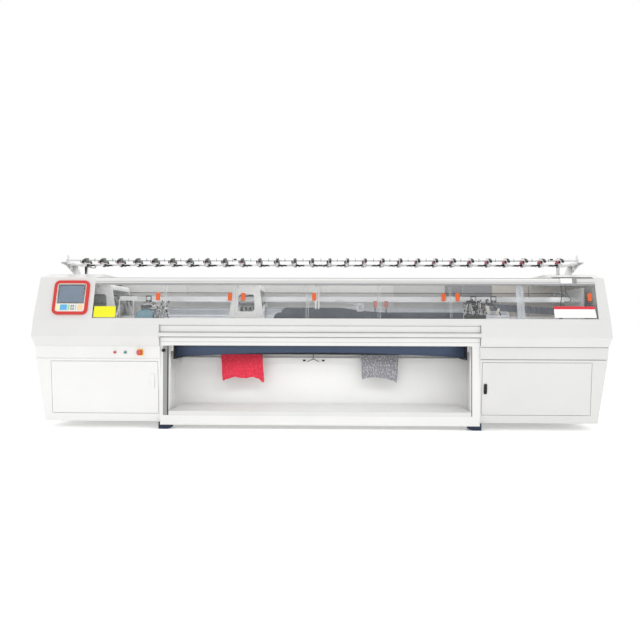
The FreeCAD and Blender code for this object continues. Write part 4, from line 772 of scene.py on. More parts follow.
def hoods():
    face, high = tension["face"], tension["rails"][0]
    parts = pressedHood() + [rod((18, y, 1473), (20.6, y, 1473), 4, 8) for y in (-62, 52)]
    parts.append(rod((face + 6, -98, 1463.5), (face + 6, 88, 1463.5), 2.4, 8))
    dressed = [(part, units) for part in parts]
    addPiece("tension_hoods", dressed, "hood_grey", stands=("tension_domes",))
    tip = outline(arcPoints(133, -46.5, -27, 6) + arcPoints(119, -27, -46.5, 6), 3, 20.5, "YZ")
    tail = outline(arcPoints(132, 33, 46.5, 4) + arcPoints(121, 46.5, 33, 4), 4.5, 19.5, "YZ")
    grommet = (ring(11.4, 2.2, 18, 6), units, (18.6, 0, high), sideways)
    addPiece("hood_tips", [(tip, units), (tail, units), grommet], "black_plastic")


def faceAndGrip():  # white face plates and rings, and the long ribbed grip with its black cap
    face, back, level = tension["face"], tension["knobBack"], tension["knobLevel"]
    bezel = turned([(17, 0), (25, 0), (25.5, 2.5), (23.5, 4), (18.5, 4.4), (17, 3)], 28, closed=True)
    stretch = Matrix.Diagonal((1.16, 2.9, 1, 1))  # the ring round the grip is long from front to back
    addPiece("unit_faces", [
        (slab(26, 34, 4.5, 8, 1.4, 5), units, (-1, -40, 1443)),
        (bezel, units, (-face, back, level - 1), turnedTo("Y", -90), stretch),
        (slab(24, 30, 5, 6, 1.5), units, (11.5, 46, 1442)),
        (block((6, -36, 1426), (15, 36, 1458), 3), units),
    ], "ceramic_white")
    side = [m @ shifted(-face, back, level) @ turnedTo("Z", -90) for m in units]
    ribs = [m @ shifted(step, 0, 0) for m in side for step in (-48, -40, -32, -24, 24, 32, 40, 48)]
    addPiece("tension_knobs_dressed", [
        (slab(124, 24, 12, 11, 3, 6), side),
        (block((-1.2, -12.9, -11), (1.2, -11.4, 11), 0.5), ribs),
        (turned([(0, 6), (6.5, 6), (8.5, 4.6), (9, 0), (0, 0)], 18), side, (0, -11, 0), upright),
    ], "maroon_plastic", stands=("tension_knobs",))
    band = block((-9, -13.4, -13), (-3, 0, 13), 2)
    addPiece("grip_caps", [(slab(18, 26, 13.6, 8, 2), side, (54, 0.2, 0)), (band, side)], "black_plastic")


def takeupLevers():  # each lever reaches towards the row's nearer end
    mirror = Matrix.Diagonal((-1, 1, 1, 1))
    reaching = [m if i < tension["turn"] else m @ mirror for i, m in enumerate(units)]
    y, z = tension["arm"]
    shape = [(6, -9), (6, 8), (30, 7), (52, 1), (70, 4), (98, 0), (98, -12), (70, -10), (50, -12), (28, -8)]
    bar = outline([(x, z + up) for x, up in shape], y - 4, y + 4)
    soften(bar, [e for e in bar.edges if abs(e.verts[0].co.y - e.verts[1].co.y) < 0.1], 0.9, 1)
    turns = [(10, 6, 3), (22, 9, -8), (34, 5, 5), (48, 8, -9), (62, 4, 2), (78, 7, -10), (96, 2, -4)]
    bends = [(30, 4, -6), (40, 8, -15), (52, 6, -17), (60, 4, -9)]
    twist, hook = ([(x, y - out, z + up) for x, out, up in line] for line in (turns, bends))
    coils = [m @ shifted(15, y - 12 + 3.5 * k, z - 9) @ upright for m in reaching for k in range(4)]
    addPiece("takeup_levers", [
        (bar, reaching), (wire(twist, 4.2, 2), reaching), (ring(9.5, 2.6, 18, 6), coils),
        (wire(hook, 1.8, 2), reaching[:15]), (slab(20, 13, 6, 4, 1.2), reaching, (20, y - 9, z + 1)),
    ], "black_plastic", stands=("takeup_arms",))
    at = ((97, z - 5), (44, z - 13), (8, z - 14))
    eyes = [m @ shifted(dx, y - 6, dz) @ upright for m in reaching for dx, dz in at]
    addPiece("yarn_eyelets", [(ring(5.0, 2.0, 16, 8), eyes)], "ceramic_white")


def springLoops():
    high = tension["rails"][0]
    points = [
        (-19, -46, 1482), (-25, -50, 1462), (-17, -52, 1436), (-2, -52, 1417),
        (8, -51, 1418), (19, -49, 1436), (20, -46, 1456),
    ]
    addPiece("spring_loops", [
        (wire(points, 1.5, 1), units[6:]),
        (slab(15, 11, 3.2, 2, 0.8), units, (0, -40, high)),
        (rod((0, -47.5, high), (0, -43, high), 3.4, 6), units),
        (rod((-9, 0, 1500), (9, 0, 1500), 5, 10), units),
    ], "steel")


def rowGuides():  # small eyelets between the units, on the upper rail
    high, half = tension["rails"][0], tension["pitch"] / 2
    gaps = [m @ shifted(half + 6 * math.sin(i * 2.1), 0, 0) for i, m in enumerate(units[:-1])]
    collar = turned([(9, -4), (11.5, -4), (11.5, 4), (9, 4)], 18, closed=True)
    addPiece("row_guides", [
        (collar, gaps, (0, 0, high), sideways), (ring(4, 1.1, 14, 6), gaps, (0, -6, high + 13), upright),
    ], "steel")
    cable = [
        (-70, -20, 1420), (-40, -24, 1412), (-8, -24, 1404), (12, -20, 1412),
        (8, -18, 1428), (-20, -18, 1432), (-60, -18, 1430),
    ]
    addPiece("row_sensors", [
        (slab(26, 13, 9, 5, 2), [gaps[8], gaps[26]], (24, -6, high + 8)),
        (wire(cable, 3.4, 2), units[0], (84, 0, 4)),
    ], "black_plastic")


gusset = {"web": 2325, "flange": 1456, "inner": (2268, 2274.6), "foot": 1343, "tab": 17}


def tensionFrame():
    post, foot, top, tab = -tension["first"], gusset["foot"], gusset["flange"], gusset["tab"]
    plates, bolts, dark = [], [], []
    for side in (-1, 1):
        x, web = side * post, side * gusset["web"]
        plates.append(block((x - 24, -24, foot + 0.2), (x + 24, 24, foot + 6), 1.5))
        for dx, dy in ((-tab, -tab), (tab, -tab), (-tab, tab), (tab, tab)):
            bolts.append(rod((x + dx, dy, foot + 6), (x + dx, dy, foot + 10), 4, 6))
        for y, low in ((-60, 1440), (20, 1400), (100, 1372)):  # stiffening ribs on the inner side of the web
            plates.append(sideBlock(web, web - side * 26, (y - 2, low), (y + 2, top - 4.4), 0.6))
        for y in (-120, -90, 60, 150):
            bolts.append(rod((side * 2300, y, top + 0.2), (side * 2300, y, top + 4), 5, 6))
            bolts.append(rod((web - side * 0.2, y + 30, 1436), (web - side * 4, y + 30, 1436), 4.5, 8))
        near, far = (side * edge for edge in gusset["inner"])
        plates.append(sideBlock(near, far, (-140, top - 20), (202, top), 1))
        for level in tension["rails"]:
            dark.append(rod((side * 2334, 0, level), (side * 2341, 0, level), 11, 20, soft=1.5))
    dark.append(block((post - 7, -27, foot + 6.2), (post + 7, -20, foot + 14), 1.5))
    # A dark tapering strip down the front of the left post.
    darkPostStrip = ((-10, 1423), (14, 1423), (4, 1352), (-6, 1352))
    dark.append(outline([(x - post, z) for x, z in darkPostStrip], -16, -12.4))
    addPiece("post_plates", plates, "white_paint")
    addPiece("gusset_bolts", bolts, "steel")
    addPiece("row_end_caps", dark, "black_plastic")


hoods()
faceAndGrip()
takeupLevers()
springLoops()
rowGuides()
tensionFrame()
print("tension row dressed")


# Needle beds

bed = {
    "crest": 1051, "gap": 5, "from": -1500, "to": 1700, "needlePitch": 5.0, "rackGap": 0.3, "screwPitch": 120,
}


def bedLine(side, reach, proud, lift):  # a point of the 45 degree face, counted from the crest
    drop = reach / math.sqrt(2)
    out = proud / math.sqrt(2)
    return (side * (bed["gap"] + drop + out), bed["crest"] - drop + out + lift)


def bedStrip(side, start, end, proud, low, high, lift):
    corners = [(start, 0.0), (end, 0.0), (end, proud), (start, proud)]
    return outline([bedLine(side, reach, up, lift) for reach, up in corners], low, high, "YZ")


def repeatAlong(piece, count):
    copies = piece.modifiers.new("copies", "ARRAY")
    copies.count = count
    copies.use_relative_offset = False
    copies.use_constant_offset = True
    copies.constant_offset_displace = (bed["needlePitch"] / 1000, 0, 0)


def needleBeds():
    left, right = bed["from"], bed["to"]
    count = int((right - left - 20) / bed["needlePitch"])
    first = shifted(left + 10, 0, 0)
    for name, side, body, lift in (("front", -1, "machine", 0.0), ("rear", 1, "rear_bed", bed["rackGap"])):
        needle = (bedStrip(side, 1, 128, 1.5, -0.8, 0.8, lift), first)
        butt = (bedStrip(side, 84, 90, 2.6, -0.7, 0.7, lift), first)
        row = addPiece(f"{name}_needles", [needle, butt], "needle_steel", body, smooth=0)
        repeatAlong(row, count)
        strips = [
            bedStrip(side, start, end, proud, left + 2, right - 2, lift)
            for start, end, proud in ((28, 37, 2.0), (104, 118, 2.2), (140, 186, 1.2))
        ]
        foot, top = bedLine(side, 163, 1.0, lift), bedLine(side, 163, 2.2, lift)
        screws = [rod((x, *foot), (x, *top), 5, 12) for x in range(left + 60, right, bed["screwPitch"])]
        addPiece(f"{name}_bed_strips", strips + screws, "steel", body)
        tip = (bedStrip(side, 0.4, 12, 2.8, -0.5, 0.5, lift), shifted(left + 12.5, 0, 0))
        comb = addPiece(f"{name}_sinkers", [tip], "rail_aluminium", body, smooth=0)
        repeatAlong(comb, count - 1)


needleBeds()
print("needle beds dressed")


# Carriages

carriage = {
    "places": (-646, -1954), "front": 245, "skirt": [(-118, 914), (118, 914), (96, 1002), (-96, 1002)],
    "fold": [(150, 925), (156, 925), (131, 1046), (105, 1225), (99, 1225), (125, 1046)],
    "screws": (
        (-104, 924), (104, 924), (-90, 990), (90, 990), (-92, 1130), (92, 1130),
        (0, 1226), (-70, 1226), (70, 1226),
    ),
    "skirtTop": 1000, "skirtThick": 3.2,
}
carriageLeads = (
    [(-130, -150, 1010), (-142, -160, 1060), (-120, -150, 1120), (-60, -120, 1160), (0, -100, 1180),
     (60, -120, 1160), (120, -150, 1110), (138, -160, 1050), (130, -150, 1008)],
    [(-120, 150, 1010), (-132, 160, 1060), (-110, 150, 1130), (0, 110, 1180), (110, 150, 1130),
     (132, 160, 1060), (120, 150, 1010)],
)


def carriages():
    spots = [shifted(x, 0, 0) for x in carriage["places"]]
    skirts, folds, screws, plates, knobs, coils = [], [], [], [], [], []
    for side in (-1, 1):
        y, thick = side * carriage["front"], side * carriage["skirtThick"]
        skirts.append((outline(carriage["skirt"], y, y + thick), spots))
        for x, z in carriage["screws"]:
            start = y + thick if z < carriage["skirtTop"] else y
            screws.append((rod((x, start, z), (x, start + side * 2.0, z), 4, 12, soft=0.6), spots))
        for end in (-1, 1):  # edge folds down the arch's legs
            folds.append((outline([(end * x, z) for x, z in carriage["fold"]], y, y + side * 1.4), spots))
        turn = (turnedTo("Z", 180) if side > 0 else still) @ turnedTo("X", -45)
        for x in (-98, 0, 98):  # cam plates on the heads' upper faces
            plates.append((slab(84, 150, 6, 6, 1.5), spots, (x, side * 131.5, 1009.5), turn))
        for x in (-98, -60, -20, 20, 60, 98):
            knobs.append((rod((x, side * 112, 1029), (x, side * 127, 1044), 11, 18, soft=2), spots))
        for x in (-110, -70, -30, 30, 70, 110):
            coils.append((rod((x, side * 158, 983), (x, side * 176, 1001), 14, 20, soft=2), spots))
    leads = [(wire(points, 6, 2), spots) for points in carriageLeads]
    for name, parts, finish, slot in (
        ("bridge_skirts", skirts, "sign_white", "white_paint"),
        ("bridge_folds", folds, "sign_white", "white_paint"),
        ("bridge_screws", screws, "steel", None),
        ("cam_plates", plates, "rail_aluminium", "steel"),
        ("cam_knobs", knobs, "black_plastic", None),
        ("cam_coils", coils, "slate_plastic", None),
        ("carriage_leads", leads, "black_rubber", None),
    ):
        addPiece(name, parts, finish, "carriages")


carriages()
print("carriages dressed")


# Yarn feeders

feeders = {"pitch": 90, "each": 4, "face": -65.5, "middle": 1130}
feederArm = [
    (-72, 1101.4), (-40, 1101.4), (-4, 1066), (-1.2, 1060),
    (-1.2, 1057.2), (-5, 1057.2), (-44, 1095.5), (-72, 1095.5),
]


def feederSets():
    face, middle = feeders["face"], feeders["middle"]
    for name, first in (("left_feeders", -1740), ("right_feeders", 1380)):
        spots = [
            shifted(first + i * feeders["pitch"], 0, 0) @ (turnedTo("Z", 180) if i % 2 else still)
            for i in range(feeders["each"])
        ]
        shoe = (slab(50, 58, 5.6, 5, 1.2), spots, (0, face - 0.1, 1126.5))
        lip = (block((-25, face - 6, 1148.3), (25, face + 0.4, 1156), 1), spots)
        plate = (slab(38, 30, 0.8, 3, 0.3), spots, (0, face - 5.7, middle))
        pins = [(rod((x, face - 6.8, middle), (x, face - 5.6, middle), 4.2, 14), spots) for x in (-15, 15)]
        pins.append((rod((0, face - 6.8, 1108), (0, face - 5.2, 1108), 5, 14), spots))
        arm = (outline(feederArm, -4.5, 4.5, "YZ"), spots)
        eye = (wire([(0, -8.5, 1072), (0, -4.6, 1064), (0, -3.2, 1057.4)], 1.9, 2), spots)
        addPiece(f"{name}_shoes", [shoe, lip], "black_plastic", name, stands=(name,))
        addPiece(f"{name}_arms", [arm], "steel", name)
        addPiece(f"{name}_plates", [plate], "sign_white", name)
        addPiece(f"{name}_eyes", [eye], "ceramic_white", name)
        addPiece(f"{name}_pins", pins, "steel", name)


feederSets()
print("feeders dressed")


# Touch panel and buttons

panel = {"x": -2135, "level": 1120, "face": -11.05, "strip": 0.6, "keyLevel": -88, "screenLevel": 32}
buttons = {"level": 654, "band": -402, "red": -1747, "green": -1658, "stop": -1530}
stopCap = [
    (0, 30.6), (10, 30.2), (18, 28.2), (23, 24.6), (24.6, 21), (24.4, 17), (20, 14.8), (9, 14.8), (0, 14.8),
]


def panelKeys():
    place = onSlope(panel["x"], panel["level"])
    row, screen = panel["keyLevel"], panel["screenLevel"]

    def key(width, height, x, z=row, thick=1.6, step=panel["strip"]):
        return (slab(width, height, thick, 1.6, 0.5), place @ shifted(x, panel["face"] - step, z))

    dark = [key(14, 20, x, z) for x in (13, 31) for z in (row - 13, row + 12)]
    rim = [key(228, 3, 0, screen + z, 0.8) for z in (81, -81)]
    rim += [key(3, 160, x, screen, 0.8) for x in (-112.5, 112.5)]
    for name, parts, finish, slot in (
        ("strip", [key(238, 60, 0, thick=0.6, step=0.0)], "sign_white", "cream_plastic"),
        ("keys_yellow", [key(26, 50, -101)], "key_cream", "cream_plastic"),
        ("keys_blue", [key(60, 50, -54)], "key_blue", "cream_plastic"),
        ("keys_green", [key(18, 50, -10), key(10, 50, 52)], "key_green", "cream_plastic"),
        ("keys_dark", dark, "head_shade", "black_plastic"),
        ("keys_orange", [key(46, 50, 88)], "key_orange", "cream_plastic"),
        ("screen_rim", rim, "sign_white", "cream_plastic"),
    ):
        addPiece(f"panel_{name}", parts, finish)


def controlButtons():
    def at(key, proud=0.0):
        return shifted(buttons[key], buttons["band"] - proud, buttons["level"]) @ upright

    collar = turned([(11.6, 0), (16, 0), (16, 3), (14.5, 5), (11.6, 5)], 28, closed=True)
    places = [at(key, 0.02) for key in ("red", "green")]
    addPiece("button_collars", [(collar, places)], "rail_aluminium")
    for key in ("red", "green"):
        cap = turned([(0, 11.4), (8, 11), (11.2, 9), (11.3, 6), (0, 6)], 24)
        addPiece(f"{key}_button_cap", [(cap, at(key))], f"{key}_plastic", f"{key}_button")
    addPiece("stop_cap_dressed", [(turned(stopCap, 32), at("stop"))], "red_plastic", "stop_button")
    mark = block((-1.4, -15, 30.2), (1.4, -7, 31.3), 0.4)
    places = [at("stop") @ turnedTo("Z", 90 * k) for k in range(4)]
    addPiece("stop_cap_marks", [(mark, places)], "sign_white", "stop_button")


panelKeys()
controlButtons()
print("controls dressed")


# Covers, cabinets, frame

covers = {"inner": 1363, "outer": 2438, "seam": 939.6, "roof": 1342.6, "rim": 1297.5}
headRail = {
    "left": -1938, "right": 2343, "lines": ((1243, 6.2, 5), (1262, 1.2, 0), (1295, 1.6, 0)),
    "fold": (1283, 1292),
}
# The fascia's folds list the levels and half-heights of painted shade lines along the fascia.
fascia = {"half": 1361, "foot": 715, "tall": 177, "folds": ((884, 1.8), (829, 2.4), (786, 3.6), (746, 1.2))}
rearFace = {"louvres": 430.2, "ribs": 447}
leg = {"face": -385.1, "foot": 118, "top": 711}


def coverDetails():
    low = covers["seam"]
    seams = [  # the lid meets the lower cover on one line
        outline([(left, low), (right, low), (right, low + 1.8), (left, low + 1.8)], -430.6, -429.4)
        for left, right in ((-covers["outer"], -covers["inner"]), (covers["inner"], covers["outer"]))
    ]
    addPiece("cover_seams", seams, "grey_paint")
    # Painted shade: dark strips where the gaps above and below the right cabinet's band fall in shadow.
    gaps = [  # shadow gaps above and below the right cabinet's band
        block((1366, -403.4, 704.5), (2434, -401.8, 711)),
        block((1366, -397.2, 600.6), (2416, -395.8, 605.4)),
    ]
    addPiece("cabinet_shadow_gaps", gaps, "liner_dark")
    rim, roof = covers["rim"], covers["roof"]
    ends = [  # plates that close the roof's slope at the window bay
        outline([(-336, rim), (-150.5, roof), (299, roof), (299, rim)], x, x + turn * 2, "YZ")
        for x, turn in ((panes["left"], 1), (1990, -1))
    ]
    addPiece("bay_end_plates", ends, "sign_white")
    lines = []
    left, right = headRail["left"], headRail["right"]
    # Painted shade: a dark strip as the shadow under the head rail's lip, and thin dark lines along the rail.
    for level, deep, step in headRail["lines"]:  # shadow groove and lines of the head rail
        y = slopeY(level - deep) - step
        lines.append(block((left, y - 0.6, level - deep), (right, y + 5, level + deep)))
    addPiece("head_rail_lines", lines, "liner_dark")
    low, high = headRail["fold"]
    fold = block((left, slopeY(low) - 0.6, low), (2040, slopeY(low) + 5, high))
    addPiece("head_rail_fold", [fold], "liner_grey")
    # Painted shade: dark lines along the fascia, two of them a painted shadow just above and just below the
    # operating rod, and a dark line down each end of the fascia.
    half, folds = fascia["half"], []
    for level, deep in fascia["folds"]:
        y = -405 - 7 * (level - fascia["foot"]) / fascia["tall"]
        folds.append(block((-half, y - 0.5, level - deep), (half, y + 1, level + deep)))
    for x in (1 - half, half - 1):
        folds.append(block((x - 1.8, -413.2, 716), (x + 1.8, -404, 891)))
    addPiece("fascia_shade_lines", folds, "head_shade")


def backDetails():
    y, louvres = rearFace["louvres"], []
    for side in (-1, 1):
        spots = [shifted(side * x, 0, 0) for x in (1700, 2120)]
        for z in range(180, 560, 24):
            slat = outline([(y, z), (y + 4.3, z - 7), (y, z - 10)], -150, 150, "YZ")
            louvres.append((slat, spots))
    addPiece("cabinet_louvres", louvres, "white_paint")
    y = rearFace["ribs"]
    ribs = [block((x - 9, y, 720), (x + 9, y + 2.6, 1335), 1) for x in range(-1300, 1301, 650)]
    addPiece("rear_cover_ribs", ribs, "white_paint")


def legTrim():
    face, foot, top = leg["face"], leg["foot"], leg["top"]
    # Dark strips down the legs' inner front edges, and one across the top edge of the navy apron.
    strips = [
        sideBlock(x, far, (face - 3.3, foot), (face, top), 1.2) for x, far in ((-1291, -1300), (1291, 1296))
    ]
    strips.append(block((-1286, -219.4, 702), (1286, -217.8, 713.8)))
    addPiece("leg_edge_strips", strips, "black_rubber")
    shade = block((-1338, face - 1.5, foot), (-1301, face, top), 0.4)
    addPiece("leg_shade", [shade], "head_shade")
    bolts = []
    for side in (-1, 1):
        for y in (-352.5, 352.5):
            bolts.append(rod((side * 1369, y, 58), (side * 1369, y, 59.4), 5, 6))
            bolts.append(rod((side * 1283, y, 30), (side * 1283, y, 34), 7, 6))
    addPiece("foot_bolts", bolts, "steel")


clips = {"pitch": 17, "y": -306, "step": 5, "wander": 4, "width": (5, 12), "height": (8, 26), "lean": 35}


def clipRows(left, right, low, high, rows, dark, pale, metal):  # small clips and springs side by side
    for j in range(rows):
        for i in range(round((right - left) / clips["pitch"])):
            size = random.uniform(*clips["width"])
            tall = random.uniform(*clips["height"])
            x = left + clips["pitch"] * i + random.uniform(-clips["wander"], clips["wander"])
            z = low + (high - low) * (j + random.random() * 0.6) / rows
            turn = turnedTo("Y", random.uniform(-clips["lean"], clips["lean"]))
            place = shifted(x, clips["y"] - clips["step"] * (i % 3), z)
            (dark, pale, metal, dark)[(i + j) % 4].append((slab(size, tall, 10, 1.5, 0.8), place, turn))


leftGripper = {
    "name": "gripper", "levers": 7, "x": -1452, "pitch": 15, "y": -296, "stagger": 6, "foot": 948,
    "lean": (18, 7, 3), "lever": (6, 118, 12, 22), "middle": 56, "coil": (-24, 2.6, 4, 40, 9),
    "clips": (-1446, -1300, 950, 1110),
    "rods": [
        ((-1556, -300 + 6 * k, 968 + 36 * k), (-1346, -296 + 6 * k, 978 + 36 * k), 4.5, 12) for k in range(3)
    ],
    "pale": "ceramic_white", "paleName": "white", "order": (0, 1, 2),
}
rightGripper = {
    "name": "right_gripper", "levers": 8, "x": 1248, "pitch": 23, "y": -316, "stagger": 0, "foot": 984,
    "lean": (14, 9, 4), "lever": (7, 100, 10, 12), "middle": 46, "coil": (-13, 2.4, 3, 34, 10),
    "clips": (1296, 1470, 990, 1128),
    "rods": [((1230, -318, z), (1520, -316, z - 12), 4, 12) for z in (1000, 1064)],
    "pale": "beige_paint", "paleName": "pale", "order": (1, 0, 2),
}
leftWires = (
    [(-1540, -300, 1060), (-1560, -318, 1010), (-1500, -322, 1036),
     (-1440, -326, 1010), (-1390, -318, 1050), (-1352, -310, 1002)],
    [(-1530, -310, 1064), (-1480, -322, 1080), (-1430, -318, 1046), (-1384, -316, 1074)],
)
rightWires = (
    [(1400, -320, 1072), (1440, -326, 1090), (1490, -322, 1070), (1530, -318, 1030), (1560, -312, 980)],
    [(1240, -316, 1092), (1276, -326, 1050), (1330, -322, 1086), (1376, -328, 1020), (1420, -322, 1070)],
)
domeProfile = [(0, 88), (26, 86), (56, 78), (82, 62), (100, 38), (108, 12), (108, 0), (0, 0)]


def gripperUnit(made, dark, pale, metal):  # levers side by side with their springs, then clips and rods
    width, tall, shorter, thick = made["lever"]
    coilY, coilPitch, turns, coilLevel, coilStep = made["coil"]
    first, less, cycle = made["lean"]
    for i in range(made["levers"]):
        place = shifted(made["x"] + made["pitch"] * i, made["y"] + made["stagger"] * (i % 2), made["foot"])
        foot = place @ turnedTo("Y", first - less * (i % cycle))
        lever = (slab(width, tall - shorter * (i % 3), thick, 2, 1), foot, (0, 0, made["middle"]))
        (dark, pale, metal)[made["order"][i % 3]].append(lever)
        level = coilLevel + coilStep * (i % 2)
        coils = [foot @ shifted(0, coilY - coilPitch * k, level) for k in range(turns)]
        metal.append((ring(7, 1.4, 14, 6), coils, upright))
        if made["stagger"]:  # the left levers carry rollers
            pale.append((rod((0, -26, 92), (0, -14, 92), 6.5, 14, soft=1), foot))
    clipRows(*made["clips"], 4, dark, pale, metal)
    metal.extend(rod(*line) for line in made["rods"])
    addPiece(f"{made['name']}_black_parts", dark, "black_plastic")
    addPiece(f"{made['name']}_{made['paleName']}_parts", pale, made["pale"])
    addPiece(f"{made['name']}_steel_parts", metal, "steel")


def leftUnit():  # yarn gripper and cutter unit on a bracket in front of the beam, with its round motor cover
    shelf = 906
    addPiece("gripper_bracket", [
        block((-1664, -330, shelf - 6), (-1349, -200, shelf), 1),
        block((-1664, -206, 800), (-1624, -190.2, shelf), 1),
        block((-1404, -206, 800), (-1364, -190.2, shelf), 1),
    ], "grey_paint")
    flat = shifted(-1514, -292, shelf + 0.2) @ Matrix.Diagonal((1.0, 0.32, 1.5, 1.0))
    addPiece("gripper_dome", [(turned(domeProfile, 36), flat)], "dome_blue")
    cable, hose = leftWires
    dark = [
        block((-1462, -328, 906), (-1352, -262, 950), 4), block((-1560, -300, 1040), (-1470, -270, 1062), 3),
        wire(cable, 4, 2),
    ]
    gripperUnit(leftGripper, dark, [wire(hose, 3.2, 2)], [])
    addPiece("gripper_plate", [
        (slab(166, 38, 4, 3, 1), shifted(-1693, -250, 1121)),
        block((-1776, -254, 1098), (-1762, -246, 1140), 1),
        rod((-1765, -251, shelf), (-1765, -251, 1110), 5, 12),
        rod((-1640, -251, shelf), (-1640, -251, 1110), 5, 12),
    ], "white_paint")


def rightUnit():  # second gripper unit, carried by the sill in front of the cable chain
    thickWire, thinWire = rightWires
    dark = [
        block((1236, -330, 948), (1430, -314, 984), 3), block((1250, -310, 1006), (1404, -270, 1030), 4),
        (slab(120, 96, 8, 10, 2), shifted(1330, -262, 1060)), wire(thickWire, 6, 2), wire(thinWire, 4, 2),
    ]
    pale = [
        (slab(34, 78, 12, 12, 2), shifted(1446, -314, 1022), turnedTo("Y", -16)),
        (slab(22, 64, 10, 9, 2), shifted(1530, -314, 1010), turnedTo("Y", 20)),
    ]
    metal = [block((x - 7, -330, 930), (x + 7, -324, 990), 1) for x in (1240, 1424)]
    gripperUnit(rightGripper, dark, pale, metal)


bay = {"wall": 299.6, "foot": 890, "head": 1338, "flags": (478, 574), "guardX": 350}
duct = [
    (-334, 905), (-334, 1020), (-300, 1044), (180, 1044), (420, 1012), (560, 1004), (1290, 1004), (1290, 905),
]
supply = {"x": 2102, "plugX": 2171, "level": 1270}
supplyLeads = (
    ([(2090, -285, 1254), (2082, -292, 1220), (2092, -290, 1150), (2074, -286, 1080),
      (2096, -280, 1010), (2088, -260, 930)], 4),
    ([(2104, -284, 1256), (2124, -296, 1230), (2110, -300, 1190), (2140, -296, 1150),
      (2172, -292, 1120), (2150, -290, 1090), (2110, -286, 1100)], 3),
)


def bayLiners():  # what shows through the panes on the rear wall
    wall, foot, head = bay["wall"], bay["foot"], bay["head"]

    def liner(left, right, low=foot, high=head, thick=3.0, back=wall, soft=0.8):
        return block((left, back - thick, low), (right, back, high), soft)

    grey = [liner(left, right) for left, right in ((-1932, -1300), (-1296, -700), (-696, 0), (4, 700))]
    dark = [
        liner(1364, 1596, foot, 1284, 4.0),
        liner(1190, 1358, 1172, 1284, 1.6, 296.2, 0.5),
        liner(1480, 1640, 1060, 1284, 1.6, 296.2, 0.5),
    ]
    addPiece("wall_liners", grey, "liner_grey")
    addPiece("wall_liner_side", [liner(704, 1360)], "cover_paint")
    addPiece("wall_liners_dark", dark, "liner_dark")
    warm = [liner(1600, 1988), liner(1996, 2438, foot, 1292)]
    addPiece("wall_liners_warm", warm, "beige_paint")


def bayDetails():  # posts, stop flags, chain guard and duct, supply box
    posts = [block((left, -298, 1031), (right, -289, 1238), 1) for left, right in ((-42, -26), (-14, -3))]
    addPiece("bay_posts", posts, "sign_white")
    flags = [shifted(x, -316.2, 1072) for x in bay["flags"]]
    addPiece("stop_flags", [(slab(32, 56, 3, 4, 0.8), flags)], "flag_red")
    stems = [block((x - 5, -316, 878), (x + 5, -312.6, 1078), 0.5) for x in bay["flags"]]
    addPiece("stop_flag_stems", stems, "slate_plastic")
    x = bay["guardX"]
    bend = ((133, 1100), (170, 1106), (220, 1096), (262, 1078), (318, 1070), (352, 1046))
    plate = (slab(60, 72, 3, 6, 0.8), shifted(x, -312.5, 1044))
    hook = wire([(across, -312, level) for across, level in bend], 4, 2)
    addPiece("chain_guard", [plate, hook], "post_film")
    peg = (ring(13, 2.5, 22, 6), shifted(x + 4, -316.6, 1046) @ upright)
    stem = block((x - 4, -312.4, 878), (x + 4, -310.2, 1012), 0.5)
    addPiece("chain_guard_pegs", [peg, stem], "slate_plastic")
    addPiece("chain_duct", [outline(duct, -262.5, -254)], "slate_plastic")
    place = shifted(0, slopeY(supply["level"]) + 1, supply["level"]) @ turnedTo("X", leanAngle)
    case = (slab(97, 46, 16, 3, 1.5), place @ shifted(supply["x"], 0, 0))
    addPiece("supply_box", [case], "sign_white")
    addPiece("supply_plug", [
        (slab(38, 42, 13, 3, 1.5), place @ shifted(supply["plugX"], 0, 2)),
        (slab(22, 16, 15, 2, 1), place @ shifted(supply["plugX"], 0, 4)),
    ], "head_shade")
    leads = [wire(points, radius, 2) for points, radius in supplyLeads]
    for k, z in enumerate((1078, 1096, 1116, 1134)):
        leads.append(rod((2347, -98 - 3 * k, z), (2436, -98 - 3 * k, z - 7), 3, 10))
    leads.append(block((2346, -116, 1068), (2352, -90, 1146), 1))
    addPiece("supply_leads", leads, "black_rubber")


coverDetails()
backDetails()
legTrim()
leftUnit()
rightUnit()
bayLiners()
bayDetails()
print("covers dressed")


# Fabric

cloth = {"nip": -18, "nipLevel": 666, "foldStart": 616, "crest": 1041, "thick": 0.0022}
samples = {
    "red_sample": {
        "left": -920, "right": -519, "end": 366, "finish": "red_knit", "folds": 5, "depth": 8, "wave": 52,
        "hem": [
            (0, 0.28), (0.1, 0.55), (0.3, 0.95), (0.45, 0.75), (0.55, 0.72),
            (0.72, 0.95), (0.85, 0.65), (0.97, 0), (1, 0.1),
        ],
        "edges": ((12, 20), (-9, 18)), "cable": 42,
    },
    "grey_sample": {
        "left": 373, "right": 701, "end": 371, "finish": "grey_knit", "folds": 4, "depth": 9, "wave": 46,
        "hem": [(0, 0.55), (0.12, 0.85), (0.25, 1.0), (0.45, 1.0), (0.65, 0.8), (0.85, 0.45), (1, 0)],
        "edges": ((0, 14), (12, -14)), "cable": 26,
    },
}


def along(points, share):  # a smooth line through (share, value) points
    for (a, low), (b, high) in zip(points, points[1:]):
        if share <= b:
            step = (share - a) / (b - a)
            step = step * step * (3 - 2 * step)
            return low + (high - low) * step
    return points[-1][1]


def hangCloth(name, columns, rows, drape, finish, replaced):
    mesh = bmesh.new()
    bmesh.ops.create_grid(mesh, x_segments=columns, y_segments=rows, size=0.5)
    layer = mesh.loops.layers.uv.new("cloth")
    flat = {}
    for vert in mesh.verts:
        flat[vert.index], vert.co = drape(vert.co.x + 0.5, 0.5 - vert.co.y)
    for face in mesh.faces:
        for loop in face.loops:
            loop[layer].uv = flat[loop.vert.index]
    piece = addPiece(name, mesh, finish, smooth=180, stands=(replaced,))
    thick = piece.modifiers.new("thickness", "SOLIDIFY")
    thick.thickness = cloth["thick"]
    thick.offset = 0


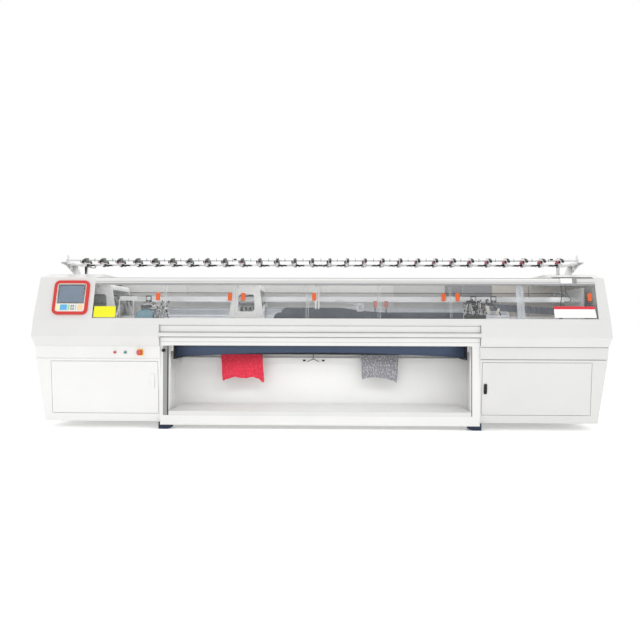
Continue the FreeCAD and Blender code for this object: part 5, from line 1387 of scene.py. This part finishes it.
def knittedSample(name):
    made = samples[name]
    width, cable = made["right"] - made["left"], made["cable"]
    nip, fold = cloth["nip"], cloth["foldStart"]
    topRun = [(0, cloth["crest"]), (nip, cloth["nipLevel"] + 45), (nip, fold)]
    drops = [0.0]
    for a, b in zip(topRun, topRun[1:]):
        drops.append(drops[-1] + math.dist(a, b))
    longest = drops[-1] + fold - made["end"]
    free = longest - drops[-1]
    (leftTop, leftFall), (rightTop, rightFall) = made["edges"]

    def drape(u, v):  # where a point of the flat piece hangs; u runs across, v down
        gone = v * (longest - made["wave"] * along(made["hem"], u))
        if gone < drops[-1]:
            run = 0 if gone < drops[1] else 1
            step = (gone - drops[run]) / (drops[run + 1] - drops[run])
            y, z = (a + (b - a) * step for a, b in zip(topRun[run], topRun[run + 1]))
            hang = 0.0
        else:
            y, z = nip, fold - (gone - drops[-1])
            hang = min(1.0, (gone - drops[-1]) / free)
        sway = math.sin(u * math.pi * made["folds"] + 0.6) * made["depth"] * hang
        lump = noise.noise(Vector((u * 7, gone / 60, len(name)))) * 5 * min(1.0, hang * 3)
        edge = max(0.0, abs(u - 0.5) - 0.44) / 0.06
        curl = edge * edge * 7 * hang
        pinch = math.sin(gone / 37 + len(name)) * 5.0 * hang * (u - 0.5)
        slant = (1 - u) * (leftTop + leftFall * hang) + u * (rightTop + rightFall * hang)
        twist = math.sin(u * width / cable * 2 * math.pi + math.sin(gone / 19) * 0.9)
        knots = noise.noise(Vector((u * width / 15, gone / 13, 1.7)))
        relief = (twist * 2.4 + knots * 3.2) * min(1.0, hang * 4)
        place = (made["left"] + u * width + pinch + slant, y + sway + lump - curl + relief, z)
        return (u * width / 1000, gone / 1000), place

    hangCloth(
        f"{name}_cloth", 90, 150, drape, made["finish"], name,
    )


apron = {"half": 1274, "top": 714, "foot": 607, "rise": 40, "y": -216.2}


def apronCloth():
    width, top, tall = 2 * apron["half"], apron["top"], (apron["top"] - apron["foot"]) / 1000

    def drape(u, v):
        foot = apron["foot"] + apron["rise"] * (1 - (2 * u - 1) ** 2)
        z = top + (foot - top) * v
        wave = (math.sin(u * 47) * 2.2 + noise.noise(Vector((u * 21, v, 3))) * 3) * v
        return (u * width / 1000, (top - z) / 1000), ((u - 0.5) * width, apron["y"] + wave, z)

    hangCloth(
        "apron_cloth", 260, 14, drape, "navy_cloth", "takedown_apron",
    )


knittedSample("red_sample")
knittedSample("grey_sample")
apronCloth()
print("fabric hung")


# Floor and light

floorSize = 30
floorGlow = 0.2
lamps = {
    "key": {"place": (-3.5, -7.0, 2.6), "aim": (0, 0, 0.7), "size": (4, 2), "power": 8},
    "low": {"place": (1.0, -7.0, 0.9), "aim": (0, 0, 0.5), "size": (7, 1.2), "power": 8},
    "bay": {"place": (0, -0.3, 0.7), "aim": (0, 0.06, 0.3), "size": (2.4, 0.1), "power": 6},
    "top": {"place": (0, 0.4, 4.2), "aim": (0, 0, 1.3), "size": (6, 2.5), "power": 60},
    "end": {"place": (2.2, -0.22, 1.22), "aim": (2.42, 0.1, 1.08), "size": (0.2, 0.2), "power": 0.12},
}


def addFloor():
    mesh = bmesh.new()
    bmesh.ops.create_grid(mesh, x_segments=1, y_segments=1, size=floorSize)
    data = bpy.data.meshes.new("floor")
    mesh.to_mesh(data)
    mesh.free()
    tree, shader = newFinish("floorPaper")
    white = (1, 1, 1, 1)
    feedAll(tree, shader, {
        "Base Color": white, "Roughness": 0.9, "Emission Color": white, "Emission Strength": floorGlow,
    })
    data.materials.append(finishes["floorPaper"])
    link("floor", data)


def addLight():
    scene = bpy.context.scene
    scene.world = bpy.data.worlds.new("studio")
    scene.world.use_nodes = True
    sky = scene.world.node_tree.nodes["Background"].inputs
    sky[0].default_value = (1, 1, 1, 1)
    sky[1].default_value = 1.0
    for name, made in lamps.items():
        light = bpy.data.lights.new(name, "AREA")
        light.shape = "RECTANGLE"
        light.size, light.size_y = made["size"]
        light.energy = made["power"]
        lamp = link(name, light)
        lamp.location = made["place"]
        lamp.visible_camera = False
        aim = Vector(made["aim"]) - Vector(made["place"])
        lamp.rotation_euler = aim.to_track_quat("-Z", "Y").to_euler()
    scene.view_settings.view_transform = "Standard"
    scene.view_settings.look = "None"


addFloor()
addLight()
print("floor and light set")
